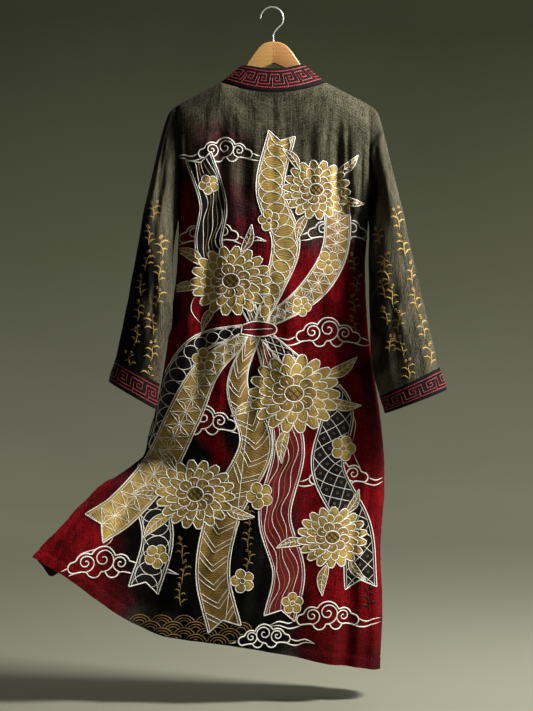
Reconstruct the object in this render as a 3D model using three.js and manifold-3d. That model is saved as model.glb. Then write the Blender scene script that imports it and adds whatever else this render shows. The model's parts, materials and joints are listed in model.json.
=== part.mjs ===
// A long, open-fronted robe on a wooden clothes hanger, with its hem swung out to one side.
// Every cloth piece is a thin closed wall that follows one smooth surface of the worn shape:
// two backs, two fronts, two sleeves, two cuff bands and the neckband.
// Millimetres. The origin is the top of the hook's inside, where the hanger hangs.
// +Z is up, +Y the wearer's front, +X the wearer's right (the right-hand side seen from behind).
import Module from "manifold-3d";
import * as THREE from "three";
import { mergeVertices } from "three/addons/utils/BufferGeometryUtils.js";

// ---------------------------------------------------------------- driving dimensions
const CLOTH = 2; // wall of the robe's cloth
const BAND = 2.8; // wall of the folded neckband and cuff bands
const SEAM = 0.3; // gap between two sewn pieces
const SHOULDER_HALF = 207; // centre back to the armhole
const SHOULDER_SLOPE = 0.52; // drop of the shoulder seam for each mm outwards
const NECK_HALF = 117; // centre back to the neckband on the shoulder seam
const NECK_SIDE_Z = -164; // height of the shoulder seam at the neckband
const NAPE_DROP = 29; // the neckline at centre back lies this much lower
const NAPE_Y = -54; // and this far behind the shoulder seam
const ARMHOLE_DEPTH = 254; // shoulder point to underarm
const ARMHOLE_HALF = 42; // half the armhole's opening, front to back
const HEM_LEVEL_Z = -1391; // the hem before it swings
const SHOULDER_MITRE = 1.4; // the wall is this much deeper under the shoulder seam
const SHOULDER_TURN = 0.05; // share of the length in which the cloth turns over the hanger
const TILT_FROM = 0.3; // share of the length below which the hem's swing tilts the rows
const BAND_WIDTH = 48; // neckband, on the fronts
const BAND_SEAM = 0.9; // the neckband starts this far from the edge of the cloth it is sewn to
const BAND_TURN = 0.1; // share of the length in which it turns from standing to lying on the chest
const BAND_LIFT_Y = 6; // its free edge stands this much off the chest
const BAND_LIFT_Z = 4; // and rises this much
const SIDE_ROUNDING = 0.75; // how squarely a panel turns into its side seam
const FLAT_ROUNDING = 2; // the same where the cloth flares straight out
const SHARPEST_MITRE = 0.3; // sine of half the sharpest corner that the walls are mitred for
const FOLD_FADE = 6; // how sharply the folds die out at a side seam
const SHOULDER_Z = NECK_SIDE_Z - (SHOULDER_HALF - NECK_HALF) * SHOULDER_SLOPE;
const UNDERARM = -ARMHOLE_DEPTH / (HEM_LEVEL_Z - SHOULDER_Z); // share of the length at the underarm

// The body, row by row. down: share of the way to the hem. left, right: the side seams.
// middle: the centre back seam. back, front: how far the panels stand off the hanger's plane.
// leftSide, rightSide: the side seams, front to back. open: the fronts' opening edges.
const BODY_ROWS = [
  { down: 0, left: -207, right: 207, middle: 0, back: -54, front: 44, leftSide: 0, rightSide: 0, open: 117 },
  { down: 0.03, left: -207, right: 207, middle: 0, back: -59, front: 47, leftSide: 0, rightSide: 0, open: 110 },
  { down: 0.08, left: -207, right: 207, middle: 0, back: -64, front: 52, leftSide: 0, rightSide: 0, open: 100 },
  { down: UNDERARM, left: -207, right: 207, middle: -1, back: -69, front: 57, leftSide: 0, rightSide: 0, open: 86 },
  { down: 0.3, left: -211, right: 201, middle: -4, back: -71, front: 60, leftSide: 2, rightSide: 3, open: 80 },
  { down: 0.4, left: -225, right: 206, middle: -7, back: -73, front: 63, leftSide: 4, rightSide: 6, open: 78 },
  { down: 0.5, left: -239, right: 222, middle: -13, back: -76, front: 66, leftSide: 4, rightSide: 8, open: 78 },
  { down: 0.6, left: -258, right: 238, middle: -24, back: -82, front: 70, leftSide: 0, rightSide: 8, open: 79 },
  { down: 0.66, left: -274, right: 243, middle: -33, back: -87, front: 73, leftSide: -4, rightSide: 6, open: 80 },
  { down: 0.705, left: -282, right: 243, middle: -41, back: -91, front: 75, leftSide: -10, rightSide: 4, open: 81 },
  { down: 0.735, left: -308, right: 240, middle: -46, back: -95, front: 76, leftSide: -24, rightSide: 3, open: 82 },
  { down: 0.8, left: -381, right: 234, middle: -58, back: -101, front: 79, leftSide: -55, rightSide: 0, open: 83 },
  { down: 0.9, left: -450, right: 238, middle: -77, back: -108, front: 84, leftSide: -104, rightSide: -5, open: 86 },
  { down: 1, left: -509, right: 232, middle: -93, back: -112, front: 88, leftSide: -143, rightSide: -8, open: 88 },
];

// How flat the left back runs out into its side seam: 0 turns round squarely, 1 runs straight out.
const FLARE = [
  { down: 0.64, flat: 0 },
  { down: 0.735, flat: 0.6 },
  { down: 0.85, flat: 1 },
];

// How far the hem swings up, all round. around: -2 left opening, -1 left side seam, 0 centre back,
// 1 right side seam, 2 right opening.
const HEM_SWING = [
  { around: -2, up: 25 },
  { around: -1.6, up: 95 },
  { around: -1.4, up: 145 },
  { around: -1.31, up: 161 },
  { around: -1.236, up: 151 },
  { around: -1.15, up: 178 },
  { around: -1, up: 206 },
  { around: -0.68, up: 175 },
  { around: -0.48, up: 115 },
  { around: -0.33, up: 60 },
  { around: -0.2, up: 31 },
  { around: 0, up: 15 },
  { around: 0.29, up: -14 },
  { around: 0.5, up: -33 },
  { around: 1, up: -50 },
  { around: 1.5, up: -32 },
  { around: 2, up: -8 },
];

// Large folds of the body. around: place as in HEM_SWING, at the top and at the foot of the fold.
// from, to: share of the length. rise: outwards, or inwards if negative. wide: half width, in around.
const BODY_FOLDS = [
  { around: -0.2, foot: -0.2, from: 0.02, to: 0.3, rise: -5, wide: 0.07 },
  { around: -0.36, foot: -0.38, from: 0.03, to: 0.3, rise: -8, wide: 0.08 },
  { around: -0.58, foot: -0.62, from: 0.04, to: 0.72, rise: 10, wide: 0.13 },
  { around: -0.42, foot: -0.44, from: 0.22, to: 0.66, rise: -13, wide: 0.09 },
  { around: 0.33, foot: 0.3, from: 0.02, to: 0.24, rise: 5, wide: 0.07 },
  { around: 0.48, foot: 0.46, from: 0.02, to: 0.27, rise: -11, wide: 0.07 },
  { around: 0.64, foot: 0.66, from: 0.02, to: 0.4, rise: 9, wide: 0.1 },
  { around: -0.08, foot: -0.1, from: 0.28, to: 0.72, rise: -8, wide: 0.07 },
  { around: 0.14, foot: 0.1, from: 0.25, to: 0.7, rise: 6, wide: 0.1 },
  { around: 0.58, foot: 0.52, from: 0.5, to: 1.3, rise: -15, wide: 0.09 },
  { around: 0.8, foot: 0.78, from: 0.5, to: 1.3, rise: 12, wide: 0.1 },
  { around: 0.3, foot: 0.22, from: 0.6, to: 1.4, rise: -13, wide: 0.12 },
  { around: 0.06, foot: -0.06, from: 0.62, to: 1.4, rise: 12, wide: 0.13 },
  { around: -0.3, foot: -0.34, from: 0.62, to: 1.35, rise: -18, wide: 0.12 },
  { around: -0.7, foot: -0.62, from: 0.64, to: 1.25, rise: 18, wide: 0.14 },
  { around: -0.86, foot: -0.84, from: 0.7, to: 1.15, rise: -12, wide: 0.08 },
  { around: -1.3, foot: -1.34, from: 0.05, to: 0.6, rise: 9, wide: 0.12 },
  { around: -1.5, foot: -1.45, from: 0.35, to: 1.3, rise: -12, wide: 0.12 },
  { around: -1.7, foot: -1.72, from: 0.45, to: 1.4, rise: 12, wide: 0.1 },
  { around: 1.36, foot: 1.3, from: 0.05, to: 0.7, rise: 9, wide: 0.12 },
  { around: 1.52, foot: 1.5, from: 0.4, to: 1.35, rise: -14, wide: 0.12 },
  { around: 1.74, foot: 1.7, from: 0.5, to: 1.4, rise: 10, wide: 0.1 },
];

// The sleeves, ring by ring, from the armhole to the cuff's end. Each ring lies on a line from its
// outer to its inner edge and is 2 * half deep, front to back, about y. x is counted outwards.
const SLEEVE_ROWS = {
  left: [
    { along: 0, outX: 207.3, outZ: SHOULDER_Z, inX: 207.3, inZ: SHOULDER_Z - ARMHOLE_DEPTH, y: 0, half: 42 },
    { along: 0.06, outX: 226, outZ: -228, inX: 211, inZ: -484, y: -4, half: 43 },
    { along: 0.12, outX: 238, outZ: -259, inX: 214, inZ: -504, y: -11, half: 44 },
    { along: 0.2, outX: 252, outZ: -316, inX: 217, inZ: -532, y: -22, half: 44 },
    { along: 0.3, outX: 266, outZ: -381, inX: 219, inZ: -566, y: -36, half: 44 },
    { along: 0.4, outX: 279, outZ: -445, inX: 219, inZ: -605, y: -50, half: 43 },
    { along: 0.51, outX: 292, outZ: -523, inX: 217, inZ: -648, y: -61, half: 42 },
    { along: 0.62, outX: 305, outZ: -595, inX: 218, inZ: -693, y: -68, half: 41 },
    { along: 0.73, outX: 317, outZ: -661, inX: 231, inZ: -735, y: -71, half: 40 },
    { along: 0.82, outX: 328, outZ: -716, inX: 239, inZ: -777, y: -73, half: 39 },
    { along: 0.9, outX: 339, outZ: -767, inX: 245, inZ: -821, y: -74, half: 39 },
    { along: 1, outX: 353, outZ: -815, inX: 251, inZ: -874, y: -75, half: 41 },
  ],
  right: [
    { along: 0, outX: 207.3, outZ: SHOULDER_Z, inX: 207.3, inZ: SHOULDER_Z - ARMHOLE_DEPTH, y: 0, half: 42 },
    { along: 0.06, outX: 227, outZ: -229, inX: 209.5, inZ: -484, y: -4, half: 43 },
    { along: 0.12, outX: 238, outZ: -265, inX: 209, inZ: -505, y: -12, half: 44 },
    { along: 0.2, outX: 251, outZ: -325, inX: 207, inZ: -532, y: -24, half: 44 },
    { along: 0.3, outX: 265, outZ: -385, inX: 206, inZ: -567, y: -38, half: 44 },
    { along: 0.4, outX: 279, outZ: -449, inX: 206, inZ: -607, y: -52, half: 43 },
    { along: 0.51, outX: 293, outZ: -518, inX: 206, inZ: -650, y: -63, half: 42 },
    { along: 0.62, outX: 308, outZ: -584, inX: 207, inZ: -695, y: -70, half: 42 },
    { along: 0.73, outX: 324, outZ: -655, inX: 208, inZ: -748, y: -73, half: 41 },
    { along: 0.82, outX: 340, outZ: -723, inX: 215, inZ: -800, y: -75, half: 41 },
    { along: 0.9, outX: 356, outZ: -786, inX: 228, inZ: -847, y: -76, half: 42 },
    { along: 1, outX: 371, outZ: -832, inX: 239, inZ: -883, y: -77, half: 44 },
  ],
};
const CUFF_FROM = 0.9; // share of the sleeve at which the cuff band starts
const CUFF_SEAM = 0.001; // the sleeve ends this share before it

// Large folds of the sleeves. around: degrees from the outer edge over the back. slant: how far
// the fold turns round the arm from its top to its foot, in degrees.
const SLEEVE_FOLDS = {
  left: [
    { around: 62, slant: 14, from: 0.03, to: 0.5, rise: -8, wide: 22 },
    { around: 118, slant: -8, from: 0.1, to: 0.86, rise: 6, wide: 26 },
    { around: 88, slant: 30, from: 0.42, to: 0.9, rise: -6, wide: 18 },
    { around: 250, slant: -20, from: 0.1, to: 0.7, rise: -7, wide: 24 },
  ],
  right: [
    { around: 105, slant: 10, from: 0.02, to: 0.34, rise: -11, wide: 22 },
    { around: 52, slant: 12, from: 0.05, to: 0.5, rise: 6, wide: 24 },
    { around: 80, slant: 34, from: 0.45, to: 0.98, rise: -6, wide: 18 },
    { around: 250, slant: -20, from: 0.1, to: 0.7, rise: -7, wide: 24 },
  ],
};

// The neckband's free edge round the neck, seen as a smaller oval standing over the neckline.
const COLLAR_TOP_HALF = 70;
const COLLAR_TOP_Y = -37;
const COLLAR_TOP_Z = -126;
const COLLAR_TOP_DROP = 17;

// The hanger: half its outline, from the middle outwards.
const HANGER_THICK = 6.5;
const HANGER_BEVEL = 2.5;
const HANGER_UNDER_SEAM = 5.8; // from the shoulder seam down to the wood
const HANGER_TOP = [
  { x: 0, z: -74 },
  { x: 14, z: -76 },
  { x: 27, z: -82 },
  { x: 38, z: -93 },
  { x: 48, z: -107 },
  { x: 57, z: -120 },
  { x: 66, z: -135 },
  { x: 80, z: -152 },
  { x: 96, z: -165 },
  { x: 112, z: -173.5 },
  { x: 132, z: -180 },
  ...[158, 186].map((x) => ({ x, z: topZ(x) - HANGER_UNDER_SEAM })),
];
const HANGER_FOOT = [
  { x: 194, z: -216 },
  { x: 188, z: -229 },
  { x: 150, z: -215 },
  { x: 100, z: -190 },
  { x: 60, z: -162 },
  { x: 38, z: -141 },
  { x: 15, z: -129.5 },
  { x: 0, z: -122.5 },
];

// The hook: a round wire, bent to an arc over a straight shank that is screwed into the hanger.
const WIRE = 3.4;
const WIRE_HALF_SIDES = 5; // sides of the wire's section, halved
const WIRE_STEPS = 40;
const HOOK_RADIUS = 24.8;
const HOOK_CENTRE_X = -3.5;
const HOOK_TIP_DEGREES = 178;
const HOOK_SPRING_DEGREES = -40;
const HOOK_STEP_DEGREES = 16;
const HOOK_BEND = 0.62; // the bend under the arc comes in this share of the way to the shank
const SHANK_TOP_Z = -58;
const SHANK_END_Z = -92;
const BORE_CLEARANCE = 0.3;
const BORE_SIDES = 16;
const BORE_OVERCUT = 5; // the drill starts this far above the wood

const BACK_COLUMNS = 16;
const NECK_COLUMNS = 6; // of the back's columns; the last one falls on the shoulder seam's neck end
const FRONT_COLUMNS = 12;
const BODY_ROW_STARTS = [0, 0.012, 0.03, 0.055, 0.085, 0.12, 0.16, 0.195];
const ROWS_TO_HEM = 19;
const SLEEVE_AROUND = 24;
const SLEEVE_STEPS = 13;
const CUFF_STEPS = 2;
const BAND_ACROSS = 2;

const COLOURS = {
  cloth: { color: 0x4a1a20, roughness: 0.9, metalness: 0 },
  sleeve: { color: 0x3a3833, roughness: 0.9, metalness: 0 },
  band: { color: 0x4a0f16, roughness: 0.8, metalness: 0 },
  wood: { color: 0xb98a55, roughness: 0.5, metalness: 0 },
  steel: { color: 0xd8d8d8, roughness: 0.2, metalness: 1 },
};

// ---------------------------------------------------------------- small helpers
const mix = (a, b, t) => a + (b - a) * t;
const bump = (t) => (Math.abs(t) >= 1 ? 0 : Math.cos((t * Math.PI) / 2) ** 2);

/** Reads a column of a table between its rows: smooth, and with no overshoot. */
function lookUp(rows, key, column, at) {
  const last = rows.length - 1;
  if (at <= rows[0][key]) return rows[0][column];
  if (at >= rows[last][key]) return rows[last][column];
  let i = 0;
  while (rows[i + 1][key] < at) i += 1;
  const run = (k) => rows[k + 1][key] - rows[k][key];
  const secant = (k) => (rows[k + 1][column] - rows[k][column]) / run(k);
  const slope = (k) => {
    if (k === 0) return secant(0);
    if (k === last) return secant(last - 1);
    const before = secant(k - 1);
    const after = secant(k);
    return before * after <= 0 ? 0 : (2 * before * after) / (before + after);
  };
  const t = (at - rows[i][key]) / run(i);
  const start = rows[i][column];
  const end = rows[i + 1][column];
  return (
    start * (1 + 2 * t) * (1 - t) ** 2 +
    slope(i) * run(i) * t * (1 - t) ** 2 +
    end * t * t * (3 - 2 * t) -
    slope(i + 1) * run(i) * t * t * (1 - t)
  );
}

/** The sum of a fold table's folds at a place. */
function foldHeight(folds, around, along, turn) {
  return folds.reduce((sum, fold) => {
    const share = (along - fold.from) / (fold.to - fold.from);
    if (share <= 0 || share >= 1) return sum;
    return sum + fold.rise * Math.sin(Math.PI * share) ** 2 * bump((around - turn(fold, share)) / fold.wide);
  }, 0);
}

// ---------------------------------------------------------------- the body's surface
/** Height of the body's top edge: the neckline, then the shoulder seam. */
function topZ(x) {
  const out = Math.min(Math.abs(x) / NECK_HALF, 1);
  return NECK_SIDE_Z - NAPE_DROP * (1 - out * out) - Math.max(Math.abs(x) - NECK_HALF, 0) * SHOULDER_SLOPE;
}

/** Half the armhole's opening at a height. */
function armholeHalf(z) {
  const share = THREE.MathUtils.clamp((SHOULDER_Z - z) / ARMHOLE_DEPTH, 0, 1);
  return ARMHOLE_HALF * 2 * Math.sqrt(share * (1 - share));
}

/**
 * A point of the body. panel: "back" or "front". side: -1 left, 1 right.
 * across: 0 at the centre back seam or the front opening, 1 at the side. down: 0 top, 1 hem.
 */
function bodyPoint(panel, side, across, down) {
  const row = (column) => lookUp(BODY_ROWS, "down", column, down);
  const back = panel === "back";
  const spread = Math.sin((across * Math.PI) / 2);
  const around = side * (back ? across : 2 - across);
  const edgeX = row(side < 0 ? "left" : "right");
  const x = mix(back ? row("middle") : side * row("open"), edgeX, spread);
  const top = topZ(mix(back ? 0 : NECK_HALF, SHOULDER_HALF, spread));
  const tilt = Math.max((down - TILT_FROM) / (1 - TILT_FROM), 0) ** 2;
  const z = mix(top, HEM_LEVEL_Z, down) + lookUp(HEM_SWING, "around", "up", around) * tilt;
  const seam = down < UNDERARM ? armholeHalf(z) * (back ? -1 : 1) : row(side < 0 ? "leftSide" : "rightSide");
  const flat = back && side < 0 ? lookUp(FLARE, "down", "flat", down) : 0;
  const bow = 1 - Math.cos((across * Math.PI) / 2) ** mix(SIDE_ROUNDING, FLAT_ROUNDING, flat);
  const turned = Math.sin(Math.acos(1 - Math.min(down / SHOULDER_TURN, 1))); // a quarter circle
  const neck = back ? Math.min((SHOULDER_HALF * spread) / NECK_HALF, 1) : 1;
  const y = mix(row(panel) * turned, seam, bow) + NAPE_Y * Math.sqrt(1 - neck * neck) * (1 - turned);
  const lean = (fold, share) => mix(fold.around, fold.foot, share);
  const held = 1 - across ** FOLD_FADE;
  const fold = foldHeight(BODY_FOLDS, around, down, lean) * held;
  return new THREE.Vector3(x, y + (back ? -fold : fold), z);
}

/** The body's outward direction at a point, from one panel's side. */
function bodyNormal(panel, side, across, down) {
  const step = 1e-3;
  const a0 = Math.max(across - step, 0);
  const a1 = Math.min(across + step, 1);
  const d0 = Math.max(down - step, 0);
  const d1 = Math.min(down + step, 1);
  const over = bodyPoint(panel, side, a1, down).sub(bodyPoint(panel, side, a0, down));
  const fall = bodyPoint(panel, side, across, d1).sub(bodyPoint(panel, side, across, d0));
  return over.cross(fall).normalize().multiplyScalar(panel === "back" ? -side : side);
}

/** From a point of the body's outside to the cloth's inside. Both panels of a seam share it there. */
function bodyInward(panel, side, across, down) {
  const own = bodyNormal(panel, side, across, down);
  const onNeckline = panel === "back" && across < NECK_COLUMNS / BACK_COLUMNS;
  if (down === 0 && onNeckline) return collarInward(side, across).multiplyScalar(CLOTH);
  if (down === 0) return new THREE.Vector3(0, 0, -CLOTH * SHOULDER_MITRE);
  if (across < 1) return own.multiplyScalar(-CLOTH);
  if (down === UNDERARM) return new THREE.Vector3(0, 0, CLOTH);
  if (down < UNDERARM) return own.setX(0).normalize().multiplyScalar(-CLOTH);
  const other = bodyNormal(panel === "back" ? "front" : "back", side, across, down);
  const middle = own.clone().add(other).normalize();
  return middle.multiplyScalar(-CLOTH / Math.max(middle.dot(own), SHARPEST_MITRE));
}

/** From the side seam to a panel's own edge there, square to the seam and to the cloth's thickness. */
function sideSeamGap(panel, side, down, inward) {
  const step = 0.01;
  const onPanel = 0.9; // a place well inside the panel
  const seam = bodyPoint(panel, side, 1, down);
  const run = bodyPoint(panel, side, 1, Math.min(down + step, 1)).sub(bodyPoint(panel, side, 1, down - step));
  const gap = run.cross(inward).setLength(SEAM * 0.5);
  const ownWay = bodyPoint(panel, side, onPanel, down).sub(seam);
  return gap.multiplyScalar(Math.sign(gap.dot(ownWay)));
}

// ---------------------------------------------------------------- walls of cloth
/** A closed wall between two grids of points. ring: the columns close on themselves. */
function wall(outer, inner, ring = false) {
  const rows = outer.length;
  const columns = outer[0].length;
  const positions = [...outer.flat(), ...inner.flat()].flatMap((p) => [p.x, p.y, p.z]);
  const indices = [];
  const quad = (a, b, c, d) => indices.push(a, b, c, a, c, d);
  const at = (layer, i, j) => layer * rows * columns + i * columns + (j % columns);
  const cells = ring ? columns : columns - 1;
  for (let j = 0; j < cells; j += 1) {
    for (let i = 0; i < rows - 1; i += 1) {
      quad(at(0, i, j), at(0, i, j + 1), at(0, i + 1, j + 1), at(0, i + 1, j));
      quad(at(1, i, j), at(1, i + 1, j), at(1, i + 1, j + 1), at(1, i, j + 1));
    }
    quad(at(0, 0, j), at(1, 0, j), at(1, 0, j + 1), at(0, 0, j + 1));
    quad(at(0, rows - 1, j), at(0, rows - 1, j + 1), at(1, rows - 1, j + 1), at(1, rows - 1, j));
  }
  if (!ring) {
    for (let i = 0; i < rows - 1; i += 1) {
      quad(at(0, i, 0), at(0, i + 1, 0), at(1, i + 1, 0), at(1, i, 0));
      quad(at(0, i, columns - 1), at(1, i, columns - 1), at(1, i + 1, columns - 1), at(0, i + 1, columns - 1));
    }
  }
  const geometry = new THREE.BufferGeometry();
  geometry.setAttribute("position", new THREE.Float32BufferAttribute(positions, 3));
  geometry.setIndex(indices);
  return facingOut(geometry);
}

/** Turns every face round if the closed mesh is inside out. */
function facingOut(geometry) {
  const points = geometry.attributes.position;
  const index = geometry.index.array;
  const corner = (k) => new THREE.Vector3().fromBufferAttribute(points, index[k]);
  let volume = 0;
  for (let k = 0; k < index.length; k += 3) {
    volume += corner(k).dot(corner(k + 1).cross(corner(k + 2)));
  }
  if (volume < 0) {
    for (let k = 0; k < index.length; k += 3) {
      [index[k + 1], index[k + 2]] = [index[k + 2], index[k + 1]];
    }
  }
  geometry.computeVertexNormals();
  return geometry;
}

const downSteps = [
  ...BODY_ROW_STARTS,
  ...Array.from({ length: ROWS_TO_HEM + 1 }, (_, i) => mix(UNDERARM, 1, i / ROWS_TO_HEM)),
];

/** One body panel. Its edges stand half a seam back from the panels that it is sewn to. */
function bodyPanel(panel, side) {
  const columns = panel === "back" ? BACK_COLUMNS : FRONT_COLUMNS;
  const facing = panel === "back" ? -1 : 1;
  const outer = [];
  const inner = [];
  for (const down of downSteps) {
    const outerRow = [];
    const innerRow = [];
    for (let j = 0; j <= columns; j += 1) {
      const across = j / columns;
      const point = bodyPoint(panel, side, across, down);
      const inward = bodyInward(panel, side, across, down);
      if (panel === "back" && j === 0) {
        point.x += side * SEAM * 0.5;
        inward.x = 0;
      }
      if (j === columns && down > UNDERARM) point.add(sideSeamGap(panel, side, down, inward));
      else if (j === columns || down === 0) point.y += facing * SEAM * 0.5;
      outerRow.push(point);
      innerRow.push(point.clone().add(inward));
    }
    outer.push(outerRow);
    inner.push(innerRow);
  }
  return wall(outer, inner);
}

// ---------------------------------------------------------------- sleeves and cuffs
/** A point of a sleeve. turn: radians from the outer edge over the back. */
function sleevePoint(side, turn, along) {
  const name = side < 0 ? "left" : "right";
  const row = (column) => lookUp(SLEEVE_ROWS[name], "along", column, along);
  const share = (1 - Math.cos(turn)) / 2;
  const point = new THREE.Vector3(
    side * mix(row("outX"), row("inX"), share),
    row("y") - row("half") * Math.sin(turn),
    mix(row("outZ"), row("inZ"), share),
  );
  const degrees = THREE.MathUtils.radToDeg(turn);
  const slanted = (fold, part) => fold.around + fold.slant * part;
  const fold = foldHeight(SLEEVE_FOLDS[name], degrees, along, slanted);
  return point.addScaledVector(sleeveOutward(side, turn, along), fold);
}

/** Outward direction in a sleeve ring's own plane. */
function sleeveOutward(side, turn, along) {
  const name = side < 0 ? "left" : "right";
  const row = (column) => lookUp(SLEEVE_ROWS[name], "along", column, along);
  const line = new THREE.Vector3(side * (row("outX") - row("inX")), 0, row("outZ") - row("inZ"));
  const half = line.length() / 2;
  line.normalize().multiplyScalar(Math.cos(turn) * row("half"));
  return line.add(new THREE.Vector3(0, -Math.sin(turn) * half, 0)).normalize();
}

/** A stretch of a sleeve from one share of its length to another, as a tube. */
function sleeveTube(side, from, to, steps, thick, proud) {
  const outer = [];
  const inner = [];
  for (let i = 0; i <= steps; i += 1) {
    const along = mix(from, to, i / steps);
    const outerRing = [];
    const innerRing = [];
    for (let j = 0; j < SLEEVE_AROUND; j += 1) {
      const turn = (j / SLEEVE_AROUND) * 2 * Math.PI;
      const outward = sleeveOutward(side, turn, along);
      const point = sleevePoint(side, turn, along).addScaledVector(outward, proud);
      outerRing.push(point);
      innerRing.push(point.clone().addScaledVector(outward, -thick));
    }
    outer.push(outerRing);
    inner.push(innerRing);
  }
  return wall(outer, inner, true);
}

// ---------------------------------------------------------------- neckband
/** Seam edge and free edge of the neckband round the neck. across: the back panel's place there. */
function collarLine(side, across) {
  const angle = Math.asin(Math.min((SHOULDER_HALF / NECK_HALF) * Math.sin((across * Math.PI) / 2), 1));
  const seamX = NECK_HALF * Math.sin(angle);
  const seam = new THREE.Vector3(side * seamX, NAPE_Y * Math.cos(angle), topZ(seamX));
  const free = new THREE.Vector3(
    side * COLLAR_TOP_HALF * Math.sin(angle),
    COLLAR_TOP_Y * Math.cos(angle),
    COLLAR_TOP_Z - COLLAR_TOP_DROP * Math.cos(angle) ** 2,
  );
  return [seam, free];
}

/** Direction from the collar's outside to its inside. */
function collarInward(side, across) {
  const step = 1e-3;
  const [seam, free] = collarLine(side, across);
  const run = collarLine(side, across + step)[0].sub(collarLine(side, Math.max(across - step, 0))[0]);
  return free.sub(seam).cross(run).normalize().multiplyScalar(side);
}

/** Seam edge and free edge of the neckband down one front. */
function frontLine(side, down) {
  const seam = bodyPoint("front", side, 0, down);
  const turned = Math.min(down / BAND_TURN, 1);
  const [neckSeam, neckFree] = collarLine(side, NECK_COLUMNS / BACK_COLUMNS);
  const standing = neckFree.clone().sub(neckSeam);
  const flat = new THREE.Vector3(-side * BAND_WIDTH, BAND_LIFT_Y, BAND_LIFT_Z);
  const lying = standing.multiplyScalar(1 - turned).addScaledVector(flat, Math.sqrt(turned));
  lying.setLength(mix(neckFree.distanceTo(neckSeam), BAND_WIDTH, turned));
  return [seam, seam.clone().add(lying)];
}

function neckband() {
  const frontRows = downSteps.slice(1);
  const lines = [
    ...frontRows.map((down) => frontLine(-1, down)).reverse(),
    ...Array.from({ length: 2 * NECK_COLUMNS + 1 }, (_, i) => {
      const column = i - NECK_COLUMNS;
      return collarLine(Math.sign(column) || 1, Math.abs(column) / BACK_COLUMNS);
    }),
    ...frontRows.map((down) => frontLine(1, down)),
  ];
  const rows = lines.map(([seam, free]) => {
    const away = free.clone().sub(seam).setLength(BAND_SEAM);
    return Array.from({ length: BAND_ACROSS + 1 }, (_, j) => seam.clone().add(away).lerp(free, j / BAND_ACROSS));
  });
  const inner = rows.map((row, i) => {
    const before = rows[Math.max(i - 1, 0)];
    const after = rows[Math.min(i + 1, rows.length - 1)];
    const run = after[1].clone().sub(before[1]);
    const over = row[BAND_ACROSS].clone().sub(row[0]);
    const inward = over.cross(run).normalize().multiplyScalar(BAND);
    return row.map((point) => point.clone().add(inward));
  });
  return wall(rows, inner);
}

// ---------------------------------------------------------------- hanger and hook
function hangerOutline() {
  const half = [...HANGER_TOP, ...HANGER_FOOT].map(({ x, z }) => new THREE.Vector2(x, z));
  const top = half.slice(0, HANGER_TOP.length);
  const foot = half.slice(HANGER_TOP.length);
  const mirrored = (points) => points.slice().reverse().map(({ x, y }) => new THREE.Vector2(-x, y));
  const shape = new THREE.Shape();
  shape.moveTo(0, HANGER_TOP[0].z);
  shape.splineThru(top.slice(1));
  shape.splineThru(foot);
  shape.splineThru(mirrored(foot).slice(1));
  shape.splineThru(mirrored(top));
  return shape;
}

function hangerBlank() {
  const geometry = new THREE.ExtrudeGeometry(hangerOutline(), {
    depth: HANGER_THICK,
    bevelThickness: HANGER_BEVEL,
    bevelSize: HANGER_BEVEL,
    bevelOffset: -HANGER_BEVEL,
    bevelSegments: 2,
    curveSegments: 2,
  });
  return geometry.translate(0, 0, -HANGER_THICK / 2).rotateX(Math.PI / 2);
}

/** The hook's centreline: tip, arc, the bend back to the middle, shank. */
function hookPath() {
  const centreZ = WIRE / 2 - HOOK_RADIUS;
  const points = [];
  for (let degrees = HOOK_TIP_DEGREES; degrees > HOOK_SPRING_DEGREES; degrees -= HOOK_STEP_DEGREES) {
    const angle = THREE.MathUtils.degToRad(degrees);
    points.push(
      new THREE.Vector3(HOOK_CENTRE_X + HOOK_RADIUS * Math.cos(angle), 0, centreZ + HOOK_RADIUS * Math.sin(angle)),
    );
  }
  const spring = points.at(-1);
  points.push(new THREE.Vector3(mix(spring.x, 0, HOOK_BEND), 0, mix(spring.z, SHANK_TOP_Z, 0.5)));
  points.push(new THREE.Vector3(0, 0, SHANK_TOP_Z));
  points.push(new THREE.Vector3(0, 0, mix(SHANK_TOP_Z, SHANK_END_Z, 0.5)));
  points.push(new THREE.Vector3(0, 0, SHANK_END_Z));
  return new THREE.CatmullRomCurve3(points, false, "centripetal");
}

function hookWire() {
  const section = new THREE.Shape();
  section.absarc(0, 0, WIRE / 2, 0, 2 * Math.PI);
  return new THREE.ExtrudeGeometry(section, {
    extrudePath: hookPath(),
    steps: WIRE_STEPS,
    curveSegments: WIRE_HALF_SIDES,
    bevelEnabled: false,
  });
}

const wasm = await Module();
wasm.setup();

function toSolid(geometry) {
  const bare = geometry.index ? geometry.toNonIndexed() : geometry.clone();
  bare.deleteAttribute("normal");
  bare.deleteAttribute("uv");
  const merged = mergeVertices(bare, 1e-3);
  return new wasm.Manifold(
    new wasm.Mesh({
      numProp: 3,
      vertProperties: merged.attributes.position.array,
      triVerts: new Uint32Array(merged.index.array),
    }),
  );
}

function fromSolid(solid) {
  const { vertProperties, triVerts } = solid.getMesh();
  const geometry = new THREE.BufferGeometry();
  geometry.setAttribute("position", new THREE.Float32BufferAttribute(vertProperties, 3));
  geometry.setIndex([...triVerts]);
  geometry.computeVertexNormals();
  return geometry;
}

/** The hanger with the blind hole that the shank stands in. */
function hanger() {
  const top = HANGER_TOP[0].z + BORE_OVERCUT;
  const foot = SHANK_END_Z - BORE_CLEARANCE;
  const radius = WIRE / 2 + BORE_CLEARANCE;
  const hole = new THREE.CylinderGeometry(radius, radius, top - foot, BORE_SIDES);
  hole.rotateX(Math.PI / 2).translate(0, 0, (top + foot) / 2);
  return fromSolid(toSolid(hangerBlank()).subtract(toSolid(hole)));
}

// ---------------------------------------------------------------- the robe
const robe = new THREE.Group();

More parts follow.
